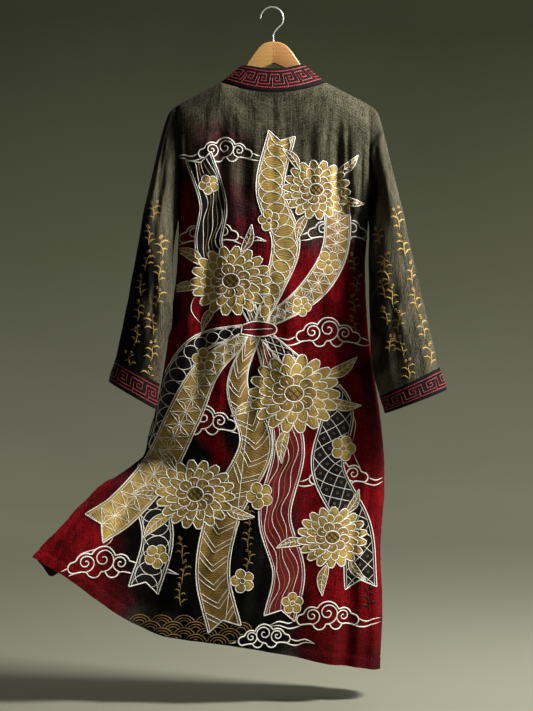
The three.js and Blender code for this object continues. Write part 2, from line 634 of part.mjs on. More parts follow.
function add(name, geometry, look) {
  const mesh = new THREE.Mesh(geometry, new THREE.MeshStandardMaterial(COLOURS[look]));
  mesh.name = name;
  robe.add(mesh);
}

for (const [name, side] of [["left", -1], ["right", 1]]) {
  add(`back_${name}`, bodyPanel("back", side), "cloth");
  add(`front_${name}`, bodyPanel("front", side), "cloth");
  add(`sleeve_${name}`, sleeveTube(side, 0, CUFF_FROM - CUFF_SEAM, SLEEVE_STEPS, CLOTH, 0), "sleeve");
  add(`cuff_${name}`, sleeveTube(side, CUFF_FROM, 1, CUFF_STEPS, BAND, BAND - CLOTH), "band");
}
add("neckband", neckband(), "band");
add("hanger", hanger(), "wood");
add("hook", hookWire(), "steel");

export default robe;
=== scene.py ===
import json
import math

import bmesh
import bpy
import numpy as np
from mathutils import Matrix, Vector
from mathutils.bvhtree import BVHTree
from mathutils.geometry import delaunay_2d_cdt

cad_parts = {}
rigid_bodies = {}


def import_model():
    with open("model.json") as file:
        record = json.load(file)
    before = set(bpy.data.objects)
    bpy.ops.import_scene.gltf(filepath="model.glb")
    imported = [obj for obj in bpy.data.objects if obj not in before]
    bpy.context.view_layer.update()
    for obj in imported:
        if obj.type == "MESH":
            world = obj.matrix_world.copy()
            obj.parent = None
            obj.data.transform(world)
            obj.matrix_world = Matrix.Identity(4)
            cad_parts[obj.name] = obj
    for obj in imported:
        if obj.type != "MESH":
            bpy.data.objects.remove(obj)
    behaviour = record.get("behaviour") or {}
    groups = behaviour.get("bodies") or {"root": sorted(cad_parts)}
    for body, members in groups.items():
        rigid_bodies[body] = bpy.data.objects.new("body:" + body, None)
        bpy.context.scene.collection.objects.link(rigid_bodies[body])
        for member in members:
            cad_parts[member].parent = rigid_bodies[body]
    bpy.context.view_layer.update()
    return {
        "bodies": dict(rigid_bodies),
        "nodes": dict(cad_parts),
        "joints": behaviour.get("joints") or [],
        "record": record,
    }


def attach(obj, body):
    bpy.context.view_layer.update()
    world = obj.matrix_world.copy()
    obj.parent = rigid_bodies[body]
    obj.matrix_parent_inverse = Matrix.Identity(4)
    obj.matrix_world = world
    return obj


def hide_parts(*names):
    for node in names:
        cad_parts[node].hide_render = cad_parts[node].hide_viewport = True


# A long open-fronted robe on a wooden hanger, seen from behind, its hem swung out to one side.
# The cloth pieces are thin shells on the forms of the frame's solids, with finer folds, seams and
# hems. Lengths in this script are millimetres in the frame's axes, and meshes are made in metres.
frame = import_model()
MM = 0.001
BODY = "root"

# ------------------------------------------------------------------ the robe's driving sizes
CLOTH = 1.3  # thickness of the robe's cloth
BAND = 2.6  # thickness of the folded neckband and cuff bands
SHOULDER_HALF = 207  # from the centre back to the armhole
SHOULDER_SLOPE = 0.52  # fall of the shoulder for each mm outwards
NECK_HALF = 117  # from the centre back to the neckline's end on the shoulder
NECK_SIDE_Z = -164  # height of that end
NAPE_DROP = 29  # the neckline is this much lower at the centre back
NAPE_Y = -54  # and lies at this y there
ARMHOLE_DEPTH = 254  # from the shoulder down to the underarm
ARMHOLE_HALF = 42  # half the armhole's width
HEM_LEVEL_Z = -1391  # the hem's height before its swing
SHOULDER_TURN = 0.05  # share of the length in which the cloth turns over the hanger
TILT_FROM = 0.3  # share of the length below which the hem's swing tilts the rows
SIDE_ROUNDING = 0.75  # power of the section's curve towards the side seams: less is fuller
FLAT_ROUNDING = 2  # and its power in the flat flare
FOLD_FADE = 6  # power with which folds fade out towards the side seams
SHOULDER_Z = NECK_SIDE_Z - (SHOULDER_HALF - NECK_HALF) * SHOULDER_SLOPE
UNDERARM = -ARMHOLE_DEPTH / (HEM_LEVEL_Z - SHOULDER_Z)
NECK_ACROSS = 0.375  # the neckline's share of a back panel
BAND_WIDTH = 48  # of the neckband as it shows
BAND_SEAM = 0.9  # gap between the neckband and the cloth's edge
BAND_TURN = 0.1  # share of the fronts over which the standing band turns down flat
BAND_LIFT_Y = 6  # the flat band's free edge lies this much before its seam edge
BAND_LIFT_Z = 4  # and this much higher
COLLAR_TOP_HALF = 70  # half width of the standing collar's upper edge
COLLAR_TOP_Y = -37  # its y at the centre back
COLLAR_TOP_Z = -126  # its height at the shoulders
COLLAR_TOP_DROP = 17  # it is this much lower at the centre back
CUFF_FROM = 0.9  # share of the sleeve's length where the cuff starts
CUFF_PROUD = 0.8  # the cuff bands lie this much outside the sleeves


class Table:
    """Rows of numbers with named columns, read between rows smoothly and with no overshoot."""

    def __init__(self, columns, rows):
        self.columns = columns.split()
        self.rows = np.array(rows, float)

    def read(self, column, at):
        keys = self.rows[:, 0]
        values = self.rows[:, self.columns.index(column)]
        run = np.diff(keys)
        secant = np.diff(values) / run
        before = secant[:-1]
        after = secant[1:]
        turning = before * after <= 0
        slope = np.empty(len(keys))
        slope[0] = secant[0]
        slope[-1] = secant[-1]
        slope[1:-1] = np.where(turning, 0, 2 * before * after / np.where(turning, 1, before + after))
        at = np.clip(at, keys[0], keys[-1])
        i = np.clip(np.searchsorted(keys, at, side="left") - 1, 0, len(run) - 1)
        t = (at - keys[i]) / run[i]
        return (
            values[i] * (1 + 2 * t) * (1 - t) ** 2
            + slope[i] * run[i] * t * (1 - t) ** 2
            + values[i + 1] * t * t * (3 - 2 * t)
            - slope[i + 1] * run[i] * t * t * (1 - t)
        )


BODY_ROWS = Table(
    "down left right middle back front left_side right_side open",
    [
        (0, -207, 207, 0, -54, 44, 0, 0, 117),
        (0.03, -207, 207, 0, -59, 47, 0, 0, 110),
        (0.08, -207, 207, 0, -64, 52, 0, 0, 100),
        (UNDERARM, -207, 207, -1, -69, 57, 0, 0, 86),
        (0.3, -211, 201, -4, -71, 60, 2, 3, 80),
        (0.4, -225, 206, -7, -73, 63, 4, 6, 78),
        (0.5, -239, 222, -13, -76, 66, 4, 8, 78),
        (0.6, -258, 238, -24, -82, 70, 0, 8, 79),
        (0.66, -274, 243, -33, -87, 73, -4, 6, 80),
        (0.705, -282, 243, -41, -91, 75, -10, 4, 81),
        (0.735, -308, 240, -46, -95, 76, -24, 3, 82),
        (0.8, -381, 234, -58, -101, 79, -55, 0, 83),
        (0.9, -450, 238, -77, -108, 84, -104, -5, 86),
        (1, -509, 232, -93, -112, 88, -143, -8, 88),
    ],
)
FLARE = Table("down flat", [(0.64, 0), (0.735, 0.6), (0.85, 1)])
HEM_SWING = Table(
    "around up",
    [
        (-2, 25), (-1.6, 95), (-1.4, 145), (-1.31, 161), (-1.236, 151), (-1.15, 178), (-1, 206),
        (-0.68, 175), (-0.48, 115), (-0.33, 60), (-0.2, 31), (0, 15), (0.29, -14), (0.5, -33),
        (1, -50), (1.5, -32), (2, -8),
    ],
)

# Folds: place at the top and at the foot (0 centre back, -1 and 1 the side seams, -2 and 2 the
# front opening), from and to (shares of the length), rise (outwards), half width.
BODY_FOLDS = [
    (-0.2, -0.2, 0.02, 0.3, -5, 0.07),
    (-0.36, -0.38, 0.03, 0.3, -8, 0.08),
    (-0.58, -0.62, 0.04, 0.72, 10, 0.13),
    (-0.42, -0.44, 0.22, 0.66, -13, 0.09),
    (0.33, 0.3, 0.02, 0.24, 5, 0.07),
    (0.48, 0.46, 0.02, 0.27, -11, 0.07),
    (0.64, 0.66, 0.02, 0.4, 9, 0.1),
    (-0.08, -0.1, 0.28, 0.72, -8, 0.07),
    (0.14, 0.1, 0.25, 0.7, 6, 0.1),
    (0.58, 0.52, 0.5, 1.3, -15, 0.09),
    (0.8, 0.78, 0.5, 1.3, 12, 0.1),
    (0.3, 0.22, 0.6, 1.4, -13, 0.12),
    (0.06, -0.06, 0.62, 1.4, 12, 0.13),
    (-0.3, -0.34, 0.62, 1.35, -18, 0.12),
    (-0.7, -0.62, 0.64, 1.25, 18, 0.14),
    (-0.86, -0.84, 0.7, 1.15, -12, 0.08),
    (-1.3, -1.34, 0.05, 0.6, 9, 0.12),
    (-1.5, -1.45, 0.35, 1.3, -12, 0.12),
    (-1.7, -1.72, 0.45, 1.4, 12, 0.1),
    (1.36, 1.3, 0.05, 0.7, 9, 0.12),
    (1.52, 1.5, 0.4, 1.35, -14, 0.12),
    (1.74, 1.7, 0.5, 1.4, 10, 0.1),
]
# Finer creases over those folds, in the same columns.
BODY_CREASES = [
    (-0.1, -0.14, 0.02, 0.2, 2.2, 0.035),
    (-0.27, -0.25, 0.015, 0.17, -2.4, 0.03),
    (-0.46, -0.5, 0.02, 0.24, 2.5, 0.04),
    (-0.76, -0.68, 0.04, 0.22, -3.5, 0.05),
    (-0.9, -0.8, 0.1, 0.3, 3.0, 0.05),
    (-0.88, -0.6, 0.2, 0.38, -3.2, 0.045),
    (-0.72, -0.78, 0.3, 0.56, -4.0, 0.05),
    (-0.2, -0.24, 0.3, 0.5, 2.4, 0.04),
    (-0.3, -0.26, 0.42, 0.66, 3.0, 0.05),
    (0.07, 0.1, 0.02, 0.18, -2.0, 0.03),
    (0.2, 0.22, 0.03, 0.21, 2.4, 0.04),
    (0.4, 0.36, 0.03, 0.15, -2.2, 0.03),
    (0.56, 0.58, 0.02, 0.2, -3.0, 0.04),
    (0.78, 0.7, 0.05, 0.25, -3.6, 0.05),
    (0.92, 0.8, 0.12, 0.3, 3.2, 0.05),
    (0.9, 0.62, 0.2, 0.36, -3.4, 0.045),
    (0.74, 0.78, 0.3, 0.6, -4.2, 0.05),
    (0.36, 0.32, 0.3, 0.54, -3.0, 0.05),
    (0.24, 0.27, 0.4, 0.62, 2.6, 0.04),
    (0.46, 0.42, 0.5, 0.8, 4.5, 0.05),
    (0.68, 0.66, 0.55, 0.9, -5.0, 0.05),
    (0.9, 0.9, 0.56, 1.1, -5.0, 0.05),
    (0.13, 0.04, 0.66, 1.1, -4.5, 0.04),
    (-0.12, -0.2, 0.64, 1.12, -5.0, 0.05),
    (-0.2, -0.1, 0.72, 1.15, 4.0, 0.04),
    (-0.46, -0.5, 0.66, 1.1, 5.5, 0.05),
    (-0.58, -0.52, 0.7, 1.05, -5.0, 0.04),
    (-0.8, -0.74, 0.72, 1.1, 4.0, 0.04),
    (-1.2, -1.16, 0.25, 0.7, -4.0, 0.06),
    (-1.6, -1.62, 0.1, 0.45, 4.0, 0.06),
    (-1.4, -1.3, 0.6, 1.1, 5.0, 0.06),
    (1.2, 1.18, 0.3, 0.75, -4.0, 0.06),
    (1.64, 1.6, 0.1, 0.5, 4.0, 0.06),
    (1.34, 1.4, 0.6, 1.15, 5.0, 0.06),
]

SLEEVE_COLUMNS = "along out_x out_z in_x in_z y half"
SHOULDER_RING = (0, SHOULDER_HALF, SHOULDER_Z, SHOULDER_HALF, SHOULDER_Z - ARMHOLE_DEPTH, 0, 42)
SLEEVE_ROWS = {
    -1: Table(
        SLEEVE_COLUMNS,
        [
            SHOULDER_RING,
            (0.06, 226, -228, 211, -484, -4, 43),
            (0.12, 238, -259, 214, -504, -11, 44),
            (0.2, 252, -316, 217, -532, -22, 44),
            (0.3, 266, -381, 219, -566, -36, 44),
            (0.4, 279, -445, 219, -605, -50, 43),
            (0.51, 292, -523, 217, -648, -61, 42),
            (0.62, 305, -595, 218, -693, -68, 41),
            (0.73, 317, -661, 231, -735, -71, 40),
            (0.82, 328, -716, 239, -777, -73, 39),
            (0.9, 339, -767, 245, -821, -74, 39),
            (1, 353, -815, 251, -874, -75, 41),
        ],
    ),
    1: Table(
        SLEEVE_COLUMNS,
        [
            SHOULDER_RING,
            (0.06, 227, -229, 209.5, -484, -4, 43),
            (0.12, 238, -265, 209, -505, -12, 44),
            (0.2, 251, -325, 207, -532, -24, 44),
            (0.3, 265, -385, 206, -567, -38, 44),
            (0.4, 279, -449, 206, -607, -52, 43),
            (0.51, 293, -518, 206, -650, -63, 42),
            (0.62, 308, -584, 207, -695, -70, 42),
            (0.73, 324, -655, 208, -748, -73, 41),
            (0.82, 340, -723, 215, -800, -75, 41),
            (0.9, 356, -786, 228, -847, -76, 42),
            (1, 371, -832, 239, -883, -77, 44),
        ],
    ),
}
# Folds of the sleeves: degrees from the outer edge over the back at the top and at the foot, from
# and to (shares of the length), rise, half width in degrees. The last rows are finer creases.
SLEEVE_FOLDS = {
    -1: [
        (62, 76, 0.03, 0.5, -8, 22),
        (118, 110, 0.1, 0.86, 6, 26),
        (88, 118, 0.42, 0.9, -6, 18),
        (250, 230, 0.1, 0.7, -7, 24),
        (40, 60, 0.05, 0.3, -3.0, 10),
        (96, 84, 0.02, 0.24, 3.0, 9),
        (140, 90, 0.12, 0.4, -3.6, 10),
        (60, 96, 0.4, 0.7, 2.6, 9),
        (50, 66, 0.6, 0.98, -2.6, 9),
        (120, 98, 0.62, 0.97, 2.4, 9),
        (216, 240, 0.2, 0.6, 3.0, 11),
        (300, 280, 0.1, 0.5, -3.0, 11),
    ],
    1: [
        (105, 115, 0.02, 0.34, -11, 22),
        (52, 64, 0.05, 0.5, 6, 24),
        (80, 114, 0.45, 0.98, -6, 18),
        (250, 230, 0.1, 0.7, -7, 24),
        (70, 84, 0.02, 0.26, -3.2, 9),
        (130, 86, 0.1, 0.36, 3.4, 10),
        (150, 104, 0.16, 0.5, -3.4, 10),
        (44, 60, 0.3, 0.62, -2.6, 9),
        (100, 74, 0.52, 0.84, 3.0, 9),
        (52, 58, 0.66, 0.98, 2.4, 9),
        (216, 240, 0.2, 0.6, 3.0, 11),
        (300, 280, 0.1, 0.5, -3.0, 11),
    ],
}


# ------------------------------------------------------------------ small helpers
def mix(a, b, t):
    return a + (b - a) * t


def smoothstep(low, high, value):
    t = np.clip((value - low) / (high - low), 0, 1)
    return t * t * (3 - 2 * t)


def unit(vectors):
    return vectors / np.maximum(np.linalg.norm(vectors, axis=-1, keepdims=True), 1e-9)


def stack(*parts):
    return np.stack(np.broadcast_arrays(*parts), axis=-1)


def run_length(path):
    """Distance along a path from its start to each of its points."""
    return np.pad(np.cumsum(np.linalg.norm(np.diff(path, axis=0), axis=-1)), (1, 0))


def circle(count, endpoint=False):
    """Points of a circle of radius 1."""
    around = np.linspace(0, 2 * math.pi, count, endpoint=endpoint)
    return stack(np.cos(around), np.sin(around))


RIPPLE_WAVES = 9  # random waves that make up one ripple field


def ripple(u, v, wavelength, seed):
    """A smooth random field between about -1 and 1, of about one wavelength."""
    rng = np.random.default_rng(seed)
    total = 0
    for _ in range(RIPPLE_WAVES):
        turn = rng.uniform(0, 2 * math.pi)
        length = wavelength * rng.uniform(0.7, 1.5)
        phase = rng.uniform(0, 2 * math.pi)
        total = total + np.sin((u * math.cos(turn) + v * math.sin(turn)) * 2 * math.pi / length + phase)
    return total / math.sqrt(RIPPLE_WAVES)


def fold_height(folds, place, along):
    """The sum of a fold table's folds at places given as arrays."""
    total = np.zeros(np.broadcast(place, along).shape)
    for top, foot, start, end, rise, wide in folds:
        share = (along - start) / (end - start)
        off = np.abs(place - mix(top, foot, share)) / wide
        inside = (share > 0) & (share < 1) & (off < 1)
        bump = np.cos(np.minimum(off, 1) * math.pi / 2) ** 2
        total += np.where(inside, rise * np.sin(math.pi * share) ** 2 * bump, 0)
    return total


def grid_normals(points, ring=False):
    """Unit normals of a grid of points: the rows' direction crossed with the columns'."""
    if ring:
        across = np.roll(points, -1, axis=1) - np.roll(points, 1, axis=1)
    else:
        across = np.gradient(points, axis=1)
    down = np.gradient(points, axis=0)
    return unit(np.cross(across, down))


# ------------------------------------------------------------------ the body's surface
def top_z(x):
    out = np.minimum(np.abs(x) / NECK_HALF, 1)
    past = np.maximum(np.abs(x) - NECK_HALF, 0)
    return NECK_SIDE_Z - NAPE_DROP * (1 - out * out) - past * SHOULDER_SLOPE


def armhole_half(z):
    share = np.clip((SHOULDER_Z - z) / ARMHOLE_DEPTH, 0, 1)
    return ARMHOLE_HALF * 2 * np.sqrt(share * (1 - share))


def body_point(panel, side, across, down, creased=True):
    """Points of the body's outside. across: 0 centre back or front opening, 1 side. down: 0 to 1."""
    back = panel == "back"
    spread = np.sin(across * math.pi / 2)
    around = side * (across if back else 2 - across)
    edge_x = BODY_ROWS.read("left" if side < 0 else "right", down)
    start_x = BODY_ROWS.read("middle", down) if back else side * BODY_ROWS.read("open", down)
    x = mix(start_x, edge_x, spread)
    top = top_z(mix(0 if back else NECK_HALF, SHOULDER_HALF, spread))
    tilt = np.maximum((down - TILT_FROM) / (1 - TILT_FROM), 0) ** 2
    z = mix(top, HEM_LEVEL_Z, down) + HEM_SWING.read("up", around) * tilt
    armhole = armhole_half(mix(SHOULDER_Z, HEM_LEVEL_Z, down)) * (-1 if back else 1)
    lower = BODY_ROWS.read("left_side" if side < 0 else "right_side", down)
    seam = np.where(down < UNDERARM, armhole, lower)
    flat = FLARE.read("flat", down) if back and side < 0 else 0
    squareness = mix(SIDE_ROUNDING, FLAT_ROUNDING, flat)
    bow = 1 - np.clip(np.cos(across * math.pi / 2), 0, 1) ** squareness
    turned = np.sin(np.arccos(1 - np.minimum(down / SHOULDER_TURN, 1)))
    neck = np.minimum(SHOULDER_HALF * spread / NECK_HALF, 1) if back else 1
    y = mix(BODY_ROWS.read(panel, down) * turned, seam, bow)
    y = y + NAPE_Y * np.sqrt(1 - neck * neck) * (1 - turned)
    height = fold_height(BODY_FOLDS, around, down)
    if creased:
        height = height + fold_height(BODY_CREASES, around, down)
        calm = smoothstep(0, 0.03, down)
        height = height + (0.9 * ripple(x, z, 95, 3) + 0.35 * ripple(x, z, 38, 4)) * calm
    height = height * (1 - across**FOLD_FADE)
    return stack(x, y + (-height if back else height), z)


# ------------------------------------------------------------------ the sleeves' surface
def sleeve_point(side, turn, along, proud=0.0):
    """Points of a sleeve's outside. turn: radians from the outer edge over the back."""
    rows = SLEEVE_ROWS[side]
    share = (1 - np.cos(turn)) / 2
    out_x, in_x = rows.read("out_x", along), rows.read("in_x", along)
    out_z, in_z = rows.read("out_z", along), rows.read("in_z", along)
    half = rows.read("half", along)
    point = stack(side * mix(out_x, in_x, share), rows.read("y", along) - half * np.sin(turn),
                  mix(out_z, in_z, share))
    line = stack(side * (out_x - in_x), 0, out_z - in_z)
    line_half = np.linalg.norm(line, axis=-1) / 2
    outward = unit(line) * (np.cos(turn) * half)[..., None]
    outward = unit(outward + stack(0, -np.sin(turn) * line_half, 0))
    degrees = np.degrees(turn) % 360
    height = fold_height(SLEEVE_FOLDS[side], degrees, along)
    height = height + 0.5 * ripple(along * 640, np.cos(turn) * 90, 80, 11) * smoothstep(0, 0.04, along)
    return point + outward * (height + proud)[..., None]


# ------------------------------------------------------------------ meshes
def new_object(name, mesh, slot):
    """A piece of the part, on its body. The slot is not used."""
    thing = bpy.data.objects.new(name, mesh)
    bpy.context.scene.collection.objects.link(thing)
    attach(thing, BODY)
    return thing


def make_mesh(name, vertices, faces, corner_uv, face_material, materials, sharp=50):
    """A mesh in metres from vertices in mm. corner_uv: one pair in metres for each face corner."""
    mesh = bpy.data.meshes.new(name)
    mesh.from_pydata((np.asarray(vertices) * MM).tolist(), [], [list(f) for f in faces])
    for material in materials:
        mesh.materials.append(material)
    mesh.polygons.foreach_set("material_index", np.asarray(face_material, np.int32))
    layer = mesh.uv_layers.new(name="cloth")
    layer.data.foreach_set("uv", np.asarray(corner_uv, np.float32).ravel())
    mesh.shade_smooth()
    mesh.set_sharp_from_angle(angle=math.radians(sharp))
    mesh.update()
    return mesh


def add_attribute(mesh, name, values):
    """One number for each of a mesh's points, for its material."""
    attribute = mesh.attributes.new(name, "FLOAT", "POINT")
    attribute.data.foreach_set("value", np.asarray(values, np.float32).ravel())


def arc_lengths(points, axis, ring=False):
    """Distance along one axis of a grid of points, and for a ring one more column at its end."""
    if ring:
        points = np.concatenate([points, points[:, :1]], axis=1)
    steps = np.linalg.norm(np.diff(points, axis=axis), axis=-1)
    pad = [(0, 0), (0, 0)]
    pad[axis] = (1, 0)
    return np.pad(np.cumsum(steps, axis=axis), pad)


def cloth_uv(points, wrap):
    """Cloth coordinates in metres of a grid of points. A wrapped grid gets one more column."""
    u = arc_lengths(points, 1, wrap)
    v = arc_lengths(points, 0)
    if wrap:
        v = np.concatenate([v, v[:, :1]], axis=1)
    return stack(u, v) * MM


def cell_corners(rows, columns, flip=False):
    """The four corners of every cell of a grid, each as an array of rows and one of columns."""
    i, j = np.meshgrid(np.arange(rows), np.arange(columns), indexing="ij")
    i, j = i.ravel(), j.ravel()
    corners = [(i, j), (i, j + 1), (i + 1, j + 1), (i + 1, j)]
    return corners[::-1] if flip else corners


def shell(name, outer, outward, slot, ring=False):
    """A thin closed shell of linen under a grid of outer points, rows by columns, in mm.
    outward: +1 or -1, the side of the grid's normals that is the cloth's right side."""
    rows, columns = outer.shape[:2]
    inner = outer - grid_normals(outer, ring) * outward * CLOTH
    vertices = np.concatenate([outer.reshape(-1, 3), inner.reshape(-1, 3)])
    uv = cloth_uv(outer, ring)
    cells = columns if ring else columns - 1

    def vertex(layer, row, column):
        return layer * rows * columns + row * columns + column % columns

    faces, uvs, material = [], [], []
    corners = cell_corners(rows - 1, cells, outward < 0)
    for layer, order in enumerate((corners, corners[::-1])):
        faces.append(stack(*[vertex(layer, a, b) for a, b in order]))
        uvs.append(np.stack([uv[a, b] for a, b in order], axis=1))
        material.append(np.full(len(faces[0]), layer))

    def rim(a_row, a_column, b_row, b_column, flip):
        quad = [vertex(0, a_row, a_column), vertex(1, a_row, a_column),
                vertex(1, b_row, b_column), vertex(0, b_row, b_column)]
        pair = [uv[a_row, a_column], uv[a_row, a_column], uv[b_row, b_column], uv[b_row, b_column]]
        if flip:
            quad, pair = quad[::-1], pair[::-1]
        faces.append(stack(*quad))
        uvs.append(np.stack(pair, axis=1))
        material.append(np.zeros(len(quad[0]), int))

    along = np.arange(cells)
    zero = np.zeros(cells, int)
    rim(zero, along, zero, along + 1, outward < 0)
    rim(zero + rows - 1, along, zero + rows - 1, along + 1, outward > 0)
    if not ring:
        height = np.arange(rows - 1)
        none = np.zeros(rows - 1, int)
        rim(height, none, height + 1, none, outward > 0)
        rim(height, none + columns - 1, height + 1, none + columns - 1, outward < 0)
    mesh = make_mesh(name, vertices, np.concatenate(faces), np.concatenate(uvs),
                     np.concatenate(material), [LINEN, LINEN_INSIDE])
    thing = new_object(name, mesh, slot)
    return thing, vertices


def capped_tube(rows, columns, base=0):
    """Faces of a closed tube of so many rings of so many points, numbered from base."""
    faces = []
    for i in range(rows - 1):
        for j in range(columns):
            a = base + i * columns + j
            b = base + i * columns + (j + 1) % columns
            faces.append([a, b, b + columns, a + columns])
    faces.append([base + j for j in range(columns)][::-1])
    faces.append([base + (rows - 1) * columns + j for j in range(columns)])
    return faces


def no_uv(faces):
    """Cloth coordinates for a mesh that needs none."""
    return np.zeros((sum(len(face) for face in faces), 2))


def outward_faces(mesh):
    """Turns the faces of a closed mesh outwards."""
    work = bmesh.new()
    work.from_mesh(mesh)
    bmesh.ops.recalc_face_normals(work, faces=work.faces)
    work.to_mesh(mesh)
    work.free()


# ------------------------------------------------------------------ node materials
class Nodes:
    """A short way to write a node material."""

    def __init__(self, name):
        self.material = bpy.data.materials.new(name)
        self.material.use_nodes = True
        self.tree = self.material.node_tree
        self.shader = self.tree.nodes["Principled BSDF"]

    def node(self, kind, inputs=None, **settings):
        made = self.tree.nodes.new(kind)
        for key, value in settings.items():
            setattr(made, key, value)
        for key, value in (inputs or {}).items():
            self.feed(made.inputs[key], value)
        return made

    def feed(self, socket, value):
        if isinstance(value, bpy.types.NodeSocket):
            self.tree.links.new(value, socket)
        elif socket.type == "VECTOR":
            socket.default_value = value[:3]
        else:
            socket.default_value = value

    def math(self, operation, a, b=0.0):
        return self.node("ShaderNodeMath", {0: a, 1: b}, operation=operation).outputs[0]

    def total(self, *parts):
        """The sum of values, each given with its weight."""
        terms = [self.math("MULTIPLY", value, weight) for value, weight in parts]
        total = terms[0]
        for term in terms[1:]:
            total = self.math("ADD", total, term)
        return total

    def scaled(self, colour, factor):
        inputs = {0: colour, "Scale": factor}
        return self.node("ShaderNodeVectorMath", inputs, operation="SCALE").outputs[0]

    def length_of(self, vector):
        return self.node("ShaderNodeVectorMath", {0: vector}, operation="LENGTH").outputs["Value"]

    def attribute(self, name):
        return self.node("ShaderNodeAttribute", attribute_name=name).outputs["Fac"]

    def cloth_uv(self):
        return self.node("ShaderNodeUVMap", uv_map="cloth").outputs["UV"]

    def place(self):
        return self.node("ShaderNodeTexCoord").outputs["Object"]

    def mapped(self, source, scale, turn=0.0):
        made = self.node("ShaderNodeMapping", {"Vector": source, "Scale": scale, "Rotation": (0, 0, turn)})
        return made.outputs["Vector"]

    def noise(self, vector, scale, detail=2.0, rough=0.5):
        made = self.node("ShaderNodeTexNoise", {"Vector": vector, "Scale": scale, "Detail": detail,
                                                "Roughness": rough})
        return made.outputs["Fac"]

    def wave(self, vector, scale, distortion, detail=2.0, detail_scale=1.0, way="X"):
        made = self.node("ShaderNodeTexWave", {"Vector": vector, "Scale": scale, "Distortion": distortion,
                                               "Detail": detail, "Detail Scale": detail_scale},
                         bands_direction=way)
        return made.outputs["Fac"]

    def spread(self, value, low, high, to_low=0.0, to_high=1.0):
        made = self.node("ShaderNodeMapRange", {0: value, 1: low, 2: high, 3: to_low, 4: to_high})
        return made.outputs[0]

    def blend(self, factor, a, b):
        made = self.node("ShaderNodeMix", {"Factor": factor}, data_type="RGBA")
        self.feed(made.inputs[6], a)
        self.feed(made.inputs[7], b)
        return made.outputs[2]

    def bump(self, height, strength, distance, under=None):
        made = self.node("ShaderNodeBump", {"Height": height, "Strength": strength, "Distance": distance})
        if under:
            self.feed(made.inputs["Normal"], under)
        return made.outputs["Normal"]

    def set(self, **values):
        """Sets or links the shader's own sockets, with _ for each space of their names."""
        for key, value in values.items():
            self.feed(self.shader.inputs[key.replace("_", " ")], value)


def rgb(red, green, blue):
    """A screen colour of 0 to 255 as a linear one with alpha."""
    def linear(value):
        value = value / 255
        return value / 12.92 if value <= 0.04045 else ((value + 0.055) / 1.055) ** 2.4

    return (linear(red), linear(green), linear(blue), 1.0)


def toned(colour, factor):
    """A linear colour made darker or lighter."""
    return tuple(channel * factor for channel in colour[:3]) + (1.0,)


CHARCOAL = rgb(78, 75, 61)
PLUM = rgb(70, 30, 38)
CRIMSON = rgb(112, 8, 16)
BLACK = rgb(9, 9, 8)
WAVE_UNIT = 20  # radians of the wave texture's sine in a metre, at scale 1
WEAVE_SCALE = 1 / 0.0011 / WAVE_UNIT  # for warp and weft threads
STITCH_SCALE = 1260 / WAVE_UNIT  # for satin stitches


def linen(name, dyed_and_shade_painted=True, base=CHARCOAL):
    """Slubby plain-weave linen. Warp and weft threads vary in thickness and take the dye unevenly. Its black
    is partly painted shade.
    """
    n = Nodes(name)
    uv = n.cloth_uv()
    warp_slub = n.noise(n.mapped(uv, (620, 26, 1)), 1.0, 2.0, 0.6)
    weft_slub = n.noise(n.mapped(uv, (26, 620, 1)), 1.0, 2.0, 0.6)
    fine = n.noise(n.mapped(uv, (900, 900, 1)), 1.0, 1.0)
    speckle = n.noise(n.mapped(uv, (300, 300, 1)), 1.0, 4.0, 0.75)
    slub = n.math("MAXIMUM", warp_slub, weft_slub)
    warp, weft = [n.wave(uv, WEAVE_SCALE, 0.6, 1.0, 0.4, way) for way in "XY"]
    weave = n.math("MAXIMUM", warp, weft)
    patchy = n.noise(uv, 14.0, 4.0, 0.62)
    colour = base
    if dyed_and_shade_painted:
        mottle = n.math("SUBTRACT", n.noise(uv, 42.0, 5.0, 0.68), 0.5)
        streak = n.math("SUBTRACT", slub, 0.62)
        stain = n.total((mottle, 0.5), (streak, 0.6))
        crimson = n.math("ADD", n.attribute("crimson"), stain)
        # the black attribute holds black dye and painted shade
        black = n.total((n.attribute("black"), 1.0), (stain, 0.9))
        colour = n.blend(n.spread(crimson, 0.06, 0.5), colour, PLUM)
        colour = n.blend(n.spread(crimson, 0.46, 1.08), colour, CRIMSON)
        colour = n.blend(n.spread(black, 0.2, 0.85), colour, BLACK)
    tone = n.total((slub, 1.5), (patchy, 0.7), (fine, 0.5), (speckle, 1.6))
    shaded = n.scaled(colour, n.spread(tone, 2.02, 2.6, 0.2, 1.95))
    height = n.total((weave, 0.5), (slub, 1.0))
    crumple = n.noise(n.mapped(uv, (15, 9, 1)), 1.0, 3.0, 0.55)
    n.set(Base_Color=shaded, Roughness=0.9, Sheen_Weight=0.01, Sheen_Roughness=0.5,
          Specular_IOR_Level=0.04, Normal=n.bump(height, 0.65, 0.0006, n.bump(crumple, 0.6, 0.012)))
    return n.material


def band_cloth(name):
    """Fine black satin-backed cotton of the bands."""
    n = Nodes(name)
    uv = n.cloth_uv()
    rib = n.wave(n.mapped(uv, (1, 1, 1), 0.6), 90.0, 0.5)
    cloudy = n.noise(uv, 60.0, 4.0, 0.6)
    n.set(Base_Color=n.blend(cloudy, rgb(6, 5, 5), rgb(16, 12, 13)), Roughness=0.8, Sheen_Weight=0.02,
          Sheen_Roughness=0.45, Specular_IOR_Level=0.12, Normal=n.bump(rib, 0.4, 0.0004))
    return n.material


